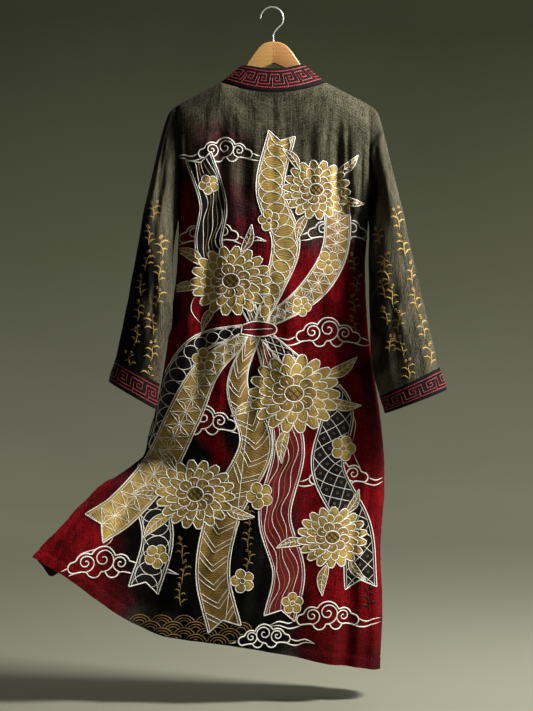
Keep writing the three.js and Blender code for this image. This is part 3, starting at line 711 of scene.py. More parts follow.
def thread(name, dark, light, rough=0.5, metal=0.0, sheen=0.1, gloss=0.5):
    """Embroidery thread: fine satin stitches side by side, each catching the light a little apart."""
    n = Nodes(name)
    uv = n.cloth_uv()
    stitch = n.wave(uv, STITCH_SCALE, 1.2, 2.0, 2.0)
    strand = n.noise(n.mapped(uv, (1500, 90, 1)), 1.0, 2.0, 0.6)
    long_tone = n.noise(uv, 55.0, 3.0, 0.6)
    tone = n.total((strand, 0.7), (long_tone, 0.5))
    n.set(Base_Color=n.blend(n.spread(tone, 0.35, 0.85), dark, light), Roughness=rough, Metallic=metal,
          Sheen_Weight=sheen, Specular_IOR_Level=gloss,
          Normal=n.bump(n.math("ADD", stitch, strand), 0.5, 0.0005))
    return n.material


LINEN = linen("dyed_linen_with_painted_shade")
LINEN_INSIDE = linen("linen_inside", dyed_and_shade_painted=False, base=rgb(34, 30, 29))  # the cloth's wrong side
BAND_BLACK = band_cloth("band_black")
RED_THREAD = thread("red_thread", rgb(92, 20, 28), rgb(158, 50, 60), 0.55, sheen=0.05, gloss=0.25)
WHITE_THREAD = thread("white_thread", rgb(232, 228, 216), rgb(254, 252, 246))
GOLD_THREAD = thread("gold_thread", rgb(114, 88, 34), rgb(208, 179, 98), 0.58, 0.1, gloss=0.25)
OLD_GOLD_THREAD = thread("old_gold_thread", rgb(88, 66, 27), rgb(174, 141, 72), 0.58, 0.1, gloss=0.25)
BLACK_THREAD = thread("black_thread", rgb(8, 7, 7), rgb(26, 22, 21), 0.55, sheen=0.0, gloss=0.2)
CRIMSON_SATIN = thread("crimson_satin", rgb(74, 6, 13), rgb(128, 17, 27), sheen=0.02, gloss=0.25)


# ------------------------------------------------------------------ where the dyes and the painted shade lie
# Soft oval patches on the robe's back, seen from behind: middle x and z, half width, half height,
# and strength.
CRIMSON_PATCHES = [
    (3, -740, 290, 260, 1.2),
    (0, -900, 260, 260, 1.2),
    (160, -1200, 140, 330, 1.2),
    (-425, -1166, 170, 150, 1.1),
    (-200, -1100, 160, 200, 1.0),
    (-125, -430, 120, 170, 0.46),
    (-165, -530, 66, 150, 1.05),
    (-190, -760, 90, 150, 1.1),
    (10, -440, 150, 110, 0.44),
    (165, -590, 70, 160, 0.85),
    (198, -520, 46, 130, 0.6),
]
CHARCOAL_PATCHES = [
    (215, -380, 90, 130, 0.8),
    (60, -270, 150, 80, 0.9),
    (75, -440, 50, 70, 0.5),
]
# Black dye on the back, and painted shade in the same black: strips beside the sleeves and a patch at the
# right hem.
BLACK_DYE_AND_SHADE_PATCHES = [
    (-150, -1200, 200, 215, 1.0),
    (-228, -965, 85, 140, 1.0),
    (-65, -900, 44, 125, 0.9),
    (-72, -1330, 140, 135, 1.0),
    (-250, -1160, 110, 120, 0.9),
    # painted shade: the body's side beside the left sleeve
    (-214, -440, 17, 260, 0.85),
    (-95, -560, 26, 120, 0.42),
    # painted shade: the body's side beside the right sleeve's inner edge
    (214, -800, 30, 120, 0.6),
    # painted shade: the right hem, darker where the light falls off
    (170, -1402, 160, 62, 0.5),
]
SLEEVE_DYE = 0.12  # share of the back's crimson that reaches the sleeves
PATCH_SOFTNESS = 0.5  # a patch fades between this share inside its edge and as much outside
# Painted shade on the sleeves, in the black dye's colour: the left sleeve's outer half and top, and the right
# sleeve's inner side beside the body.
SLEEVE_PAINTED_SHADE_PATCHES = [
    (-318, -620, 60, 330, 0.95),
    (-240, -270, 30, 120, 0.6),
    (208, -450, 15, 190, 0.9),
    (228, -700, 34, 160, 0.7),
]


def patch_field(patches, x, z):
    """How strongly a list of patches dyes the places x, z."""
    field = np.zeros(np.broadcast(x, z).shape)
    for middle_x, middle_z, wide, high, strength in patches:
        reach = np.hypot((x - middle_x) / wide, (z - middle_z) / high)
        field = np.maximum(field, strength * smoothstep(1 + PATCH_SOFTNESS, 1 - PATCH_SOFTNESS, reach))
    return field


def add_dyes_and_painted_shade(mesh, vertices, share=1.0):
    """The crimson and black dyes and the painted shade in black, with soft uneven edges."""
    x = vertices[:, 0] + 16 * ripple(vertices[:, 0], vertices[:, 2], 130, 21)
    z = vertices[:, 2] + 26 * ripple(vertices[:, 0], vertices[:, 2], 150, 22)
    crimson = patch_field(CRIMSON_PATCHES, x, z) * (1 - patch_field(CHARCOAL_PATCHES, x, z))
    add_attribute(mesh, "crimson", crimson * share)
    # black: black dye and painted shade on the back, painted shade only on the sleeves
    add_attribute(mesh, "black", patch_field(BLACK_DYE_AND_SHADE_PATCHES if share == 1 else SLEEVE_PAINTED_SHADE_PATCHES, x, z))


# ------------------------------------------------------------------ the four body panels
SIDES = {"left": -1, "right": 1}
BACK_GRID = (270, 88)  # rows, columns
FRONT_GRID = (200, 48)
SEAM_DIP = 1.6  # the cloth is drawn in this much at a seam
SEAM_REACH = 7  # and this far from it
HEM_FOLD = 25  # width of the turned hem
HEM_RISE = 1.1  # the turned hem stands this much proud
STITCH_DIP = 1.3  # its row of stitches is drawn in this much
STITCH_HALF = 2.2  # over this half width
HEM_EDGE = 1.5  # and rises over this half width
PUCKER = 0.45  # height of the small waves along a seam
PUCKER_REACH = 16  # and how far they go
WAVER = 0.5  # height of the hem's waves
WAVER_REACH = 30  # and how far up they go
ROW_CROWDING = 1.04  # rows lie a little closer together near the shoulders
EDGE_CROWDING = 0.55  # and columns near both seams


def edge_crowded(count):
    """Shares from 0 to 1 that lie closer together near both ends."""
    t = np.linspace(0, 1, count)
    return t - EDGE_CROWDING * np.sin(2 * math.pi * t) / (2 * math.pi)


def panel_points(panel, side, grid):
    """The finished outside of one body panel: folds, creases, seams drawn in and hem turned up."""
    rows, columns = grid
    down = np.linspace(0, 1, rows) ** ROW_CROWDING
    across = edge_crowded(columns)
    a, d = np.meshgrid(across, down)
    points = body_point(panel, side, a, d)
    outward = grid_normals(points) * (-side if panel == "back" else side)
    from_middle = arc_lengths(points, 1)
    from_side = from_middle[:, -1:] - from_middle
    run = arc_lengths(points, 0)
    to_hem = run[-1:] - run
    dip = np.exp(-((from_side / SEAM_REACH) ** 2)) * smoothstep(UNDERARM, UNDERARM + 0.02, d)
    near_seam = np.exp(-from_side / PUCKER_REACH)
    if panel == "back":
        dip = dip + np.exp(-((from_middle / SEAM_REACH) ** 2))
        near_seam = near_seam + np.exp(-from_middle / PUCKER_REACH)
    pucker = PUCKER * ripple(run, from_middle * 0.3, 21, 31 + side) * near_seam
    hem = smoothstep(HEM_FOLD + HEM_EDGE, HEM_FOLD - HEM_EDGE, to_hem)
    stitch = np.exp(-(((to_hem - HEM_FOLD) / STITCH_HALF) ** 2))
    waver = WAVER * ripple(from_middle, to_hem * 0.2, 26, 41 + side) * np.exp(-to_hem / WAVER_REACH)
    lift = HEM_RISE * hem - STITCH_DIP * stitch + waver + pucker - SEAM_DIP * dip
    lift = lift * smoothstep(0, 0.015, d)
    return points + outward * lift[..., None]


def sew_panel(panel, name):
    """One of the four body panels."""
    side = SIDES[name]
    grid = BACK_GRID if panel == "back" else FRONT_GRID
    points = panel_points(panel, side, grid)
    outward = -side if panel == "back" else side
    piece, vertices = shell(f"{panel}_{name}_linen", points, outward, "body_cloth")
    add_dyes_and_painted_shade(piece.data, vertices)
    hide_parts(f"{panel}_{name}")
    return piece


# ------------------------------------------------------------------ sleeves and cuffs
SLEEVE_GRID = (150, 120)  # rows, columns
CUFF_GRID = (22, 120)
SLEEVE_GAP = 0.001  # the sleeve ends this share of its length before the cuff
UNDERARM_DIP = 1.2  # the underarm seam is drawn in this much
ARMHOLE_PUCKER = 0.5  # height of the small waves along the armhole seam
ARMHOLE_REACH = 18  # and how far they go
DEGREE = 1.6  # cloth in one degree round a sleeve
FOLD_TURNS = np.radians([36, 72, 108, 144])  # stations round a folded edge


def sleeve_grid(side, start, end, rows, columns, proud):
    """Points round a stretch of a sleeve."""
    turn, along = np.meshgrid(np.arange(columns) / columns * 2 * math.pi, np.linspace(start, end, rows))
    return sleeve_point(side, turn, along, proud), turn, along


def sew_sleeve(name):
    """A sleeve of linen with its armhole and underarm seams."""
    side = SIDES[name]
    points, turn, along = sleeve_grid(side, 0, CUFF_FROM - SLEEVE_GAP, *SLEEVE_GRID, 0.0)
    outward = grid_normals(points, ring=True) * side
    run = arc_lengths(points, 0)
    armhole = -SEAM_DIP * np.exp(-((run / SEAM_REACH) ** 2))
    waves = ripple(np.degrees(turn) * 1.5, run * 0.3, 24, 51 + side)
    pucker = ARMHOLE_PUCKER * waves * np.exp(-run / ARMHOLE_REACH)
    from_seam = np.abs(np.degrees(turn) - 180) * DEGREE
    underarm = -UNDERARM_DIP * np.exp(-((from_seam / SEAM_REACH) ** 2))
    calm = smoothstep(0, 0.01, along)
    points = points + outward * ((armhole + pucker) * calm + underarm)[..., None]
    piece, vertices = shell(f"sleeve_{name}_linen", points, side, "sleeve_cloth", ring=True)
    add_dyes_and_painted_shade(piece.data, vertices, SLEEVE_DYE)
    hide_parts(f"sleeve_{name}")
    return piece


def folded_edge(outer, inner, out):
    """Stations round the folded edge of a band, from its outer edge line to its inner one."""
    middle, half = (outer + inner) / 2, (outer - inner) / 2
    return np.array([middle + half * math.cos(t) + out * math.sin(t) * BAND / 2 for t in FOLD_TURNS])


def cuff_ring(side):
    """Stations round a closed cuff: its section is a folded band, so the mouth's edge is round."""
    outer = sleeve_grid(side, CUFF_FROM, 1, *CUFF_GRID, CUFF_PROUD)[0]
    inner = outer - grid_normals(outer, ring=True) * side * BAND
    fold = folded_edge(outer[-1], inner[-1], unit(outer[-1] - outer[-2]))
    return np.concatenate([outer, fold, inner[::-1]])


def closed_band(name, rings, flip, slit_ends=False):
    """A closed band through stations of points: rows are joined end to start, columns wrap or cap."""
    rows, columns = rings.shape[:2]
    looped = np.concatenate([rings, rings[:1]])
    uv = cloth_uv(looped, not slit_ends)
    corners = cell_corners(rows, columns - 1 if slit_ends else columns, flip)
    faces = stack(*[(a % rows) * columns + b % columns for a, b in corners]).tolist()
    uvs = np.stack([uv[a, b] for a, b in corners], axis=1).reshape(-1, 2).tolist()
    if slit_ends:
        start = [k * columns for k in range(rows)]
        end = [k * columns + columns - 1 for k in range(rows)]
        faces += [start if flip else start[::-1], end[::-1] if flip else end]
        uvs += [[0, 0]] * (2 * rows)
    mesh = make_mesh(name, rings.reshape(-1, 3), faces, uvs, np.zeros(len(faces), int), [BAND_BLACK])
    return new_object(name, mesh, "band_cloth")


def sew_cuff(name):
    """A band of black cloth round a sleeve's end."""
    side = SIDES[name]
    piece = closed_band(f"cuff_{name}_band", cuff_ring(side), flip=side < 0)
    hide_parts(f"cuff_{name}")
    return piece


# ------------------------------------------------------------------ neckband
BAND_PLUMP = 0.35  # the band is rounded out this much along its middle
FRONT_STATIONS = 190
NECK_STATIONS = 61


def collar_line(side, across):
    """Seam edge and free edge of the neckband round the neck."""
    angle = np.arcsin(np.minimum(SHOULDER_HALF / NECK_HALF * np.sin(across * math.pi / 2), 1))
    seam_x = NECK_HALF * np.sin(angle)
    seam = stack(side * seam_x, NAPE_Y * np.cos(angle), top_z(seam_x))
    free = stack(side * COLLAR_TOP_HALF * np.sin(angle), COLLAR_TOP_Y * np.cos(angle),
                 COLLAR_TOP_Z - COLLAR_TOP_DROP * np.cos(angle) ** 2)
    return seam, free


def front_line(side, down):
    """Seam edge and free edge of the neckband down one front."""
    seam = body_point("front", side, 0.0, down, creased=False)
    turned = np.minimum(down / BAND_TURN, 1)
    neck_seam, neck_free = collar_line(side, NECK_ACROSS)
    standing = neck_free - neck_seam
    flat = np.array([-side * BAND_WIDTH, BAND_LIFT_Y, BAND_LIFT_Z])
    lying = standing * (1 - turned)[:, None] + flat * np.sqrt(turned)[:, None]
    wide = mix(np.linalg.norm(standing), BAND_WIDTH, turned)
    return seam, seam + unit(lying) * wide[:, None]


def band_lines():
    """Seam edge and free edge of the whole neckband, from the left hem round the neck to the right."""
    down = np.linspace(0.006, 1, FRONT_STATIONS)
    across = np.linspace(-1, 1, NECK_STATIONS)
    left = front_line(-1, down[::-1])
    neck_parts = [collar_line(1 if a > 0 else -1, abs(a) * NECK_ACROSS) for a in across]
    neck = [np.array([part[k] for part in neck_parts]) for k in (0, 1)]
    right = front_line(1, down)
    return [np.concatenate([left[k], neck[k], right[k]]) for k in (0, 1)]


BAND_SEAM_LINE, BAND_FREE_LINE = band_lines()
BAND_ALONG = run_length(BAND_SEAM_LINE)
BAND_MIDDLE = BAND_ALONG[-1] / 2


def along_line(line, at):
    """Points of one of the neckband's edge lines."""
    return stack(*[np.interp(at, BAND_ALONG, line[:, axis]) for axis in range(3)])


COLLAR_RISE = 5.5  # the soft band stands this much higher behind the neck than its solid
COLLAR_RISE_REACH = 170


def band_point(at, share):
    """Points of the neckband's outside. at: mm along the seam line. share: 0 seam edge, 1 free."""
    seam = along_line(BAND_SEAM_LINE, at)
    free = along_line(BAND_FREE_LINE, at)
    rise = COLLAR_RISE * smoothstep(COLLAR_RISE_REACH, 0.5 * COLLAR_RISE_REACH, np.abs(at - BAND_MIDDLE))
    free = free + unit(free - seam) * rise[..., None]
    start = seam + unit(free - seam) * BAND_SEAM
    return mix(start, free, share[..., None])


def band_frame(at, share):
    """Points and outward normals of the neckband."""
    step = 2.0
    point = band_point(at, share)
    run = band_point(at + step, share) - band_point(at - step, share)
    over = band_point(at, share + 0.02) - band_point(at, share - 0.02)
    return point, unit(np.cross(run, over))


def sew_neckband():
    """One closed band from hem to hem round the neck."""
    across = np.linspace(0.02, 0.98, 9)
    at, share = np.meshgrid(BAND_ALONG, across)
    outer, normal = band_frame(at, share)
    plump = BAND_PLUMP * np.sin(share * math.pi) ** 0.3
    outer = outer + normal * plump[..., None]
    inner = outer - normal * (BAND * 0.92)
    over = unit(outer[-1] - outer[0])
    free_fold = folded_edge(outer[-1], inner[-1], over)
    seam_fold = folded_edge(inner[0], outer[0], -over * 0.3)
    rings = np.concatenate([outer, free_fold, inner[::-1], seam_fold])
    piece = closed_band("neckband_band", rings, flip=False, slit_ends=True)
    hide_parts("neckband")
    return piece


# ------------------------------------------------------------------ hanger and hook
HANGER_THICK = 11.5  # from front to back
HANGER_BEVEL = 3.2  # radius of its rounded edges
# Upper edge of one half, from the middle to the tip, and lower edge back again: x and z.
HANGER_TOP = [
    (0, -74), (14, -76), (27, -82), (38, -93), (48, -107), (57, -120), (66, -135), (80, -152),
    (96, -165), (112, -173.5), (132, -180), (158, -191.1), (186, -205.7),
]
HANGER_FOOT = [
    (194, -216), (188, -229), (150, -215), (100, -190), (60, -162), (38, -141), (15, -129.5),
    (0, -122.5),
]
JOINT_HALF = 0.12  # half the joint between the hanger's halves
WIRE = 3.4  # thickness of the hook's wire
HOOK_RADIUS = 24.8  # of the wire's middle line
HOOK_CENTRE_X = -3.5
HOOK_TIP_DEGREES = 178  # the arc runs from here, counted from +X over the top
HOOK_SPRING_DEGREES = -40  # to here, where it bends into the shank
SHANK_TOP_Z = -58
SHANK_END_Z = -92


def catmull(points, steps):
    """A smooth line through points, with so many steps between each two."""
    points = np.array(points, float)
    padded = np.concatenate([2 * points[:1] - points[1:2], points, 2 * points[-1:] - points[-2:-1]])
    t = np.linspace(0, 1, steps, endpoint=False)[:, None]
    parts = []
    for k in range(len(points) - 1):
        a, b, c, d = padded[k : k + 4]
        parts.append(0.5 * (2 * b + (c - a) * t + (2 * a - 5 * b + 4 * c - d) * t**2
                            + (3 * b - a - 3 * c + d) * t**3))
    return np.concatenate([*parts, points[-1:]])


def wood(name, tone, turn):
    """Varnished beech, with long grain along the arm."""
    n = Nodes(name)
    grain_place = n.node("ShaderNodeMapping", {"Vector": n.place(), "Rotation": (0, turn, 0),
                                               "Scale": (6, 40, 70)}).outputs["Vector"]
    fibre = n.noise(grain_place, 5.0, 6.0, 0.62)
    rings = n.wave(grain_place, 0.55, 5.0, 3.0, 0.6, "Z")
    colour = n.blend(n.spread(rings, 0.2, 1.0), toned(tone, 0.9), tone)
    flecks = n.spread(fibre, 0.42, 0.62)
    colour = n.blend(n.math("MULTIPLY", flecks, 0.55), colour, toned(tone, 1.12))
    n.set(Base_Color=colour, Roughness=0.34, Coat_Weight=0.35, Coat_Roughness=0.18,
          Normal=n.bump(fibre, 0.15, 0.0003))
    return n.material


def polished_steel(name):
    """Polished wire with a faint haze."""
    n = Nodes(name)
    haze = n.noise(n.mapped(n.place(), (60, 60, 60)), 3.0, 3.0)
    n.set(Base_Color=n.blend(haze, rgb(222, 222, 220), rgb(244, 243, 240)), Metallic=0.7,
          Roughness=n.spread(haze, 0.3, 0.7, 0.26, 0.4))
    return n.material


def hanger_half(side):
    """Half of the hanger as a closed, round-edged board, cut off square at the middle joint."""
    top = catmull(HANGER_TOP, 6)
    foot = catmull(HANGER_FOOT, 6)
    outline = np.concatenate([top, foot])
    outline[:, 0] = np.maximum(outline[:, 0], JOINT_HALF)
    keep = [0] + [k for k in range(1, len(outline)) if np.hypot(*(outline[k] - outline[k - 1])) > 0.3]
    outline = outline[keep]
    if side < 0:
        outline = outline[::-1]
    outline[:, 0] *= side
    after = np.roll(outline, -1, axis=0) - outline
    before = outline - np.roll(outline, 1, axis=0)
    tangent = unit(unit(after) + unit(before))
    inward = stack(tangent[:, 1], -tangent[:, 0])
    inward[np.abs(outline[:, 0]) < 0.2] *= (0, 1)
    rounding = np.radians([0, 22.5, 45, 67.5, 90])
    rings = []
    for face, turns in ((-1, rounding), (1, rounding[::-1])):
        for turn in turns:
            inset = HANGER_BEVEL * (1 - math.sin(turn))
            y = face * (HANGER_THICK / 2 - HANGER_BEVEL * (1 - math.cos(turn)))
            ring = outline + inward * inset
            rings.append(stack(ring[:, 0], y, ring[:, 1]))
    return np.array(rings)


def make_hanger():
    """Two halves of a wooden hanger, joined at its middle."""
    vertices, faces, material = [], [], []
    for index, side in enumerate((-1, 1)):
        rings = hanger_half(side)
        made = capped_tube(*rings.shape[:2], base=sum(len(v) for v in vertices))
        vertices.append(rings.reshape(-1, 3))
        faces += made
        material += [index] * len(made)
    materials = [wood("beech_light", rgb(198, 152, 92), 0.45), wood("beech_warm", rgb(190, 137, 87), -0.45)]
    mesh = make_mesh("hanger_board", np.concatenate(vertices), faces, no_uv(faces), material, materials, 40)
    outward_faces(mesh)
    piece = new_object("hanger_board", mesh, "hanger_wood")
    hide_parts("hanger")
    return piece


def hook_path():
    """Knots of the wire's middle line, from its tip to the shank's end: x and z."""
    centre_z = WIRE / 2 - HOOK_RADIUS
    angles = np.radians(np.arange(HOOK_TIP_DEGREES, HOOK_SPRING_DEGREES, -16))
    arc = [(HOOK_CENTRE_X + HOOK_RADIUS * math.cos(a), centre_z + HOOK_RADIUS * math.sin(a)) for a in angles]
    spring = arc[-1]
    bend = (mix(spring[0], 0, 0.62), mix(spring[1], SHANK_TOP_Z, 0.5))
    return arc + [bend, (0, SHANK_TOP_Z), (0, mix(SHANK_TOP_Z, SHANK_END_Z, 0.5)), (0, SHANK_END_Z)]


def make_hook():
    """Round polished wire, with a rounded tip."""
    line = catmull(hook_path(), 8)
    points = stack(line[:, 0], 0 * line[:, 0], line[:, 1])
    tangent = unit(np.gradient(points, axis=0))
    normal = np.array([0.0, 1.0, 0.0])
    binormal = np.cross(tangent, normal)
    radius = np.full(len(points), WIRE / 2)
    head = points[0] - tangent[0] * WIRE / 2
    caps = [head + tangent[0] * WIRE / 2 * (1 - math.cos(t)) for t in np.radians([8, 35, 62])]
    cap_radius = [WIRE / 2 * math.sin(t) for t in np.radians([8, 35, 62])]
    points = np.concatenate([caps, points])
    radius = np.concatenate([cap_radius, radius])
    binormal = np.concatenate([np.repeat(binormal[:1], 3, axis=0), binormal])
    turns = np.linspace(0, 2 * math.pi, 20, endpoint=False)
    rings = np.array([
        p + r * (np.outer(np.cos(turns), b) + np.outer(np.sin(turns), normal))
        for p, r, b in zip(points, radius, binormal)
    ])
    faces = capped_tube(*rings.shape[:2])
    mesh = make_mesh("hook_wire", rings.reshape(-1, 3), faces, no_uv(faces), [0] * len(faces),
                     [polished_steel("polished_steel")], 60)
    outward_faces(mesh)
    piece = new_object("hook_wire", mesh, "hook_steel")
    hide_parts("hook")
    return piece


# ------------------------------------------------------------------ embroidery
class Ground:
    """The cloth as seen straight from behind: its y over each place (x, z)."""

    STEP = 4.0  # between the places where the cloth's y is found
    RAY_START = -400  # the rays that find the cloth start at this y and run towards +Y

    def __init__(self, pieces):
        points, faces = [], []
        for piece in pieces:
            mesh = piece.data
            base = len(points)
            points += [vertex.co / MM for vertex in mesh.vertices]
            faces += [[base + k for k in polygon.vertices] for polygon in mesh.polygons]
        tree = BVHTree.FromPolygons(points, faces)
        low = np.min(points, axis=0)
        high = np.max(points, axis=0)
        self.x = np.arange(low[0], high[0] + self.STEP, self.STEP)
        self.z = np.arange(low[2], high[2] + self.STEP, self.STEP)
        self.y = np.full((len(self.x), len(self.z)), np.nan)
        way = Vector((0, 1, 0))
        for i, x in enumerate(self.x):
            for j, z in enumerate(self.z):
                hit = tree.ray_cast(Vector((x, self.RAY_START, z)), way)[0]
                if hit:
                    self.y[i, j] = hit.y
        self.cloth = np.isfinite(self.y).astype(float)
        self.spread_edges()

    def spread_edges(self):
        """Carries the height a little past the cloth's outline."""
        for _ in range(4):
            known = np.isfinite(self.y)
            padded = np.pad(np.where(known, self.y, 0), 1)
            weight = np.pad(known.astype(float), 1)
            total = np.zeros(self.y.shape)
            count = np.zeros(self.y.shape)
            for i in (0, 1, 2):
                for j in (0, 1, 2):
                    window = (slice(i, i + known.shape[0]), slice(j, j + known.shape[1]))
                    total += padded[window]
                    count += weight[window]
            fresh = ~known & (count > 0)
            self.y[fresh] = total[fresh] / count[fresh]
        self.y[~np.isfinite(self.y)] = 0

    def read(self, field, points):
        u = np.clip((points[:, 0] - self.x[0]) / self.STEP, 0, len(self.x) - 1.001)
        v = np.clip((points[:, 1] - self.z[0]) / self.STEP, 0, len(self.z) - 1.001)
        i, j = u.astype(int), v.astype(int)
        s, t = u - i, v - j
        near = mix(field[i, j], field[i + 1, j], s)
        far = mix(field[i, j + 1], field[i + 1, j + 1], s)
        return mix(near, far, t)

    def on_cloth(self, points):
        return self.read(self.cloth, points) > 0.999

    def lay(self, points):
        """Points of the cloth and its outward normals."""
        reach = 3.0
        y = self.read(self.y, points)
        slope_x = self.read(self.y, points + (reach, 0)) - self.read(self.y, points - (reach, 0))
        slope_z = self.read(self.y, points + (0, reach)) - self.read(self.y, points - (0, reach))
        tilt = stack(slope_x, -2 * reach + 0 * y, slope_z)
        return stack(points[:, 0], y, points[:, 1]), unit(tilt)


def resample(path, step, closed=False):
    """Even points along a path, about one step apart."""
    path = np.asarray(path, float)
    if closed:
        path = np.concatenate([path, path[:1]])
    length = run_length(path)
    count = max(int(round(length[-1] / step)), 4)
    at = np.linspace(0, length[-1], count + 1)
    even = stack(np.interp(at, length, path[:, 0]), np.interp(at, length, path[:, 1]))
    return even[:-1] if closed else even


def inside(points, outline):
    """Which points lie inside a closed outline."""
    found = np.zeros(len(points), bool)
    low, high = outline.min(axis=0), outline.max(axis=0)
    near = np.all((points >= low) & (points <= high), axis=1)
    if not near.any():
        return found
    x, z = points[near, 0][:, None], points[near, 1][:, None]
    ax, az = outline[:, 0], outline[:, 1]
    bx, bz = np.roll(ax, -1), np.roll(az, -1)
    crosses = (az > z) != (bz > z)
    where = ax + (z - az) * (bx - ax) / np.where(bz == az, 1, bz - az)
    found[near] = (crosses & (x < where)).sum(axis=1) % 2 == 1
    return found


class Cords:
    """Couched cords of one thread, gathered into one mesh. Each is a closed, slightly flat tube."""

    SECTION = 6  # corners of a cord's section

    def __init__(self, name, ground, material, slot):
        self.name = name
        self.ground = ground
        self.material = material
        self.slot = slot
        self.vertices, self.faces, self.uv = [], [], []
        self.count = 0

    def add(self, path, half_wide, half_high=0.8, lift=0.35, closed=False, taper=False):
        points, normals = self.ground.lay(path)
        if closed:
            tangent = np.roll(points, -1, axis=0) - np.roll(points, 1, axis=0)
        else:
            tangent = np.gradient(points, axis=0)
        aside = unit(np.cross(normals, tangent))
        turns = np.arange(self.SECTION) / self.SECTION * 2 * math.pi
        rows = len(points)
        size = np.ones(rows)
        if taper:
            size = np.maximum(np.sin(np.linspace(0, 1, rows) ** 0.7 * math.pi), 0.12) ** 0.7
        elif not closed:
            size[0] = size[-1] = 0.55
        wide = (np.cos(turns) * half_wide)[None, :, None] * size[:, None, None]
        high = (np.sin(turns) * half_high)[None, :, None] * size[:, None, None] + lift
        ring = points[:, None] + aside[:, None] * wide + normals[:, None] * high
        cells = rows if closed else rows - 1
        i, j = np.meshgrid(np.arange(cells), np.arange(self.SECTION), indexing="ij")
        i, j = i.ravel(), j.ravel()
        ahead = (i + 1) % rows
        beside = (j + 1) % self.SECTION
        quads = stack(i * self.SECTION + j, i * self.SECTION + beside,
                      ahead * self.SECTION + beside, ahead * self.SECTION + j)
        run = np.pad(np.cumsum(np.linalg.norm(np.diff(points, axis=0), axis=-1)), (0, 1), mode="edge")
        around = np.arange(self.SECTION + 1) * half_wide
        corner = [(run[i], around[j]), (run[i], around[j + 1]),
                  (run[ahead], around[j + 1]), (run[ahead], around[j])]
        self.uv.append(np.stack([stack(a, b) for a, b in corner], axis=1).reshape(-1, 2) * MM)
        faces = (quads + self.count).tolist()
        if not closed:
            start = [self.count + k for k in range(self.SECTION)]
            end = [self.count + (rows - 1) * self.SECTION + k for k in range(self.SECTION)]
            faces += [start[::-1], end]
            self.uv.append(np.zeros((2 * self.SECTION, 2)))
        self.faces += faces
        self.vertices.append(ring.reshape(-1, 3))
        self.count += rows * self.SECTION

    def add_clipped(self, path, keep, closed=False, **size):
        """Adds the stretches of a path where keep is true."""
        if closed and keep.all():
            self.add(path, closed=True, **size)
            return
        if closed:
            first = int(np.argmin(keep))
            path = np.roll(path, -first, axis=0)
            keep = np.roll(keep, -first)
        edges = np.flatnonzero(np.diff(np.concatenate([[False], keep, [False]]).astype(int)))
        for start, end in zip(edges[::2], edges[1::2]):
            if end - start >= 3:
                self.add(path[start:end], **size)

    def sew(self):
        if not self.faces:
            return None
        mesh = make_mesh(self.name, np.concatenate(self.vertices), self.faces, np.concatenate(self.uv),
                         np.zeros(len(self.faces), int), [self.material], sharp=80)
        return new_object(self.name, mesh, self.slot)


class Shape:
    """One closed form of a picture. fill: index of the filling thread, or None for bare cloth.
    frame: turns points into stitch coordinates. lines: (thread, half width, path) inside it."""

    def __init__(self, outline, fill=None, frame=None, edge="white", edge_half=1.15, lines=()):
        self.outline = resample(outline, 3.5, closed=True)
        x, z = self.outline.T
        if np.sum(x * np.roll(z, -1) - np.roll(x, -1) * z) < 0:
            self.outline = self.outline[::-1].copy()
        self.fill = fill
        self.frame = frame or straight_frame(0)
        self.edge = edge
        self.edge_half = edge_half
        self.lines = list(lines)


def straight_frame(turn):
    """Stitch coordinates for satin stitches that all lie one way."""
    def frame(points):
        c, s = math.cos(turn), math.sin(turn)
        return stack(points[:, 0] * c + points[:, 1] * s, points[:, 1] * c - points[:, 0] * s)

    return frame


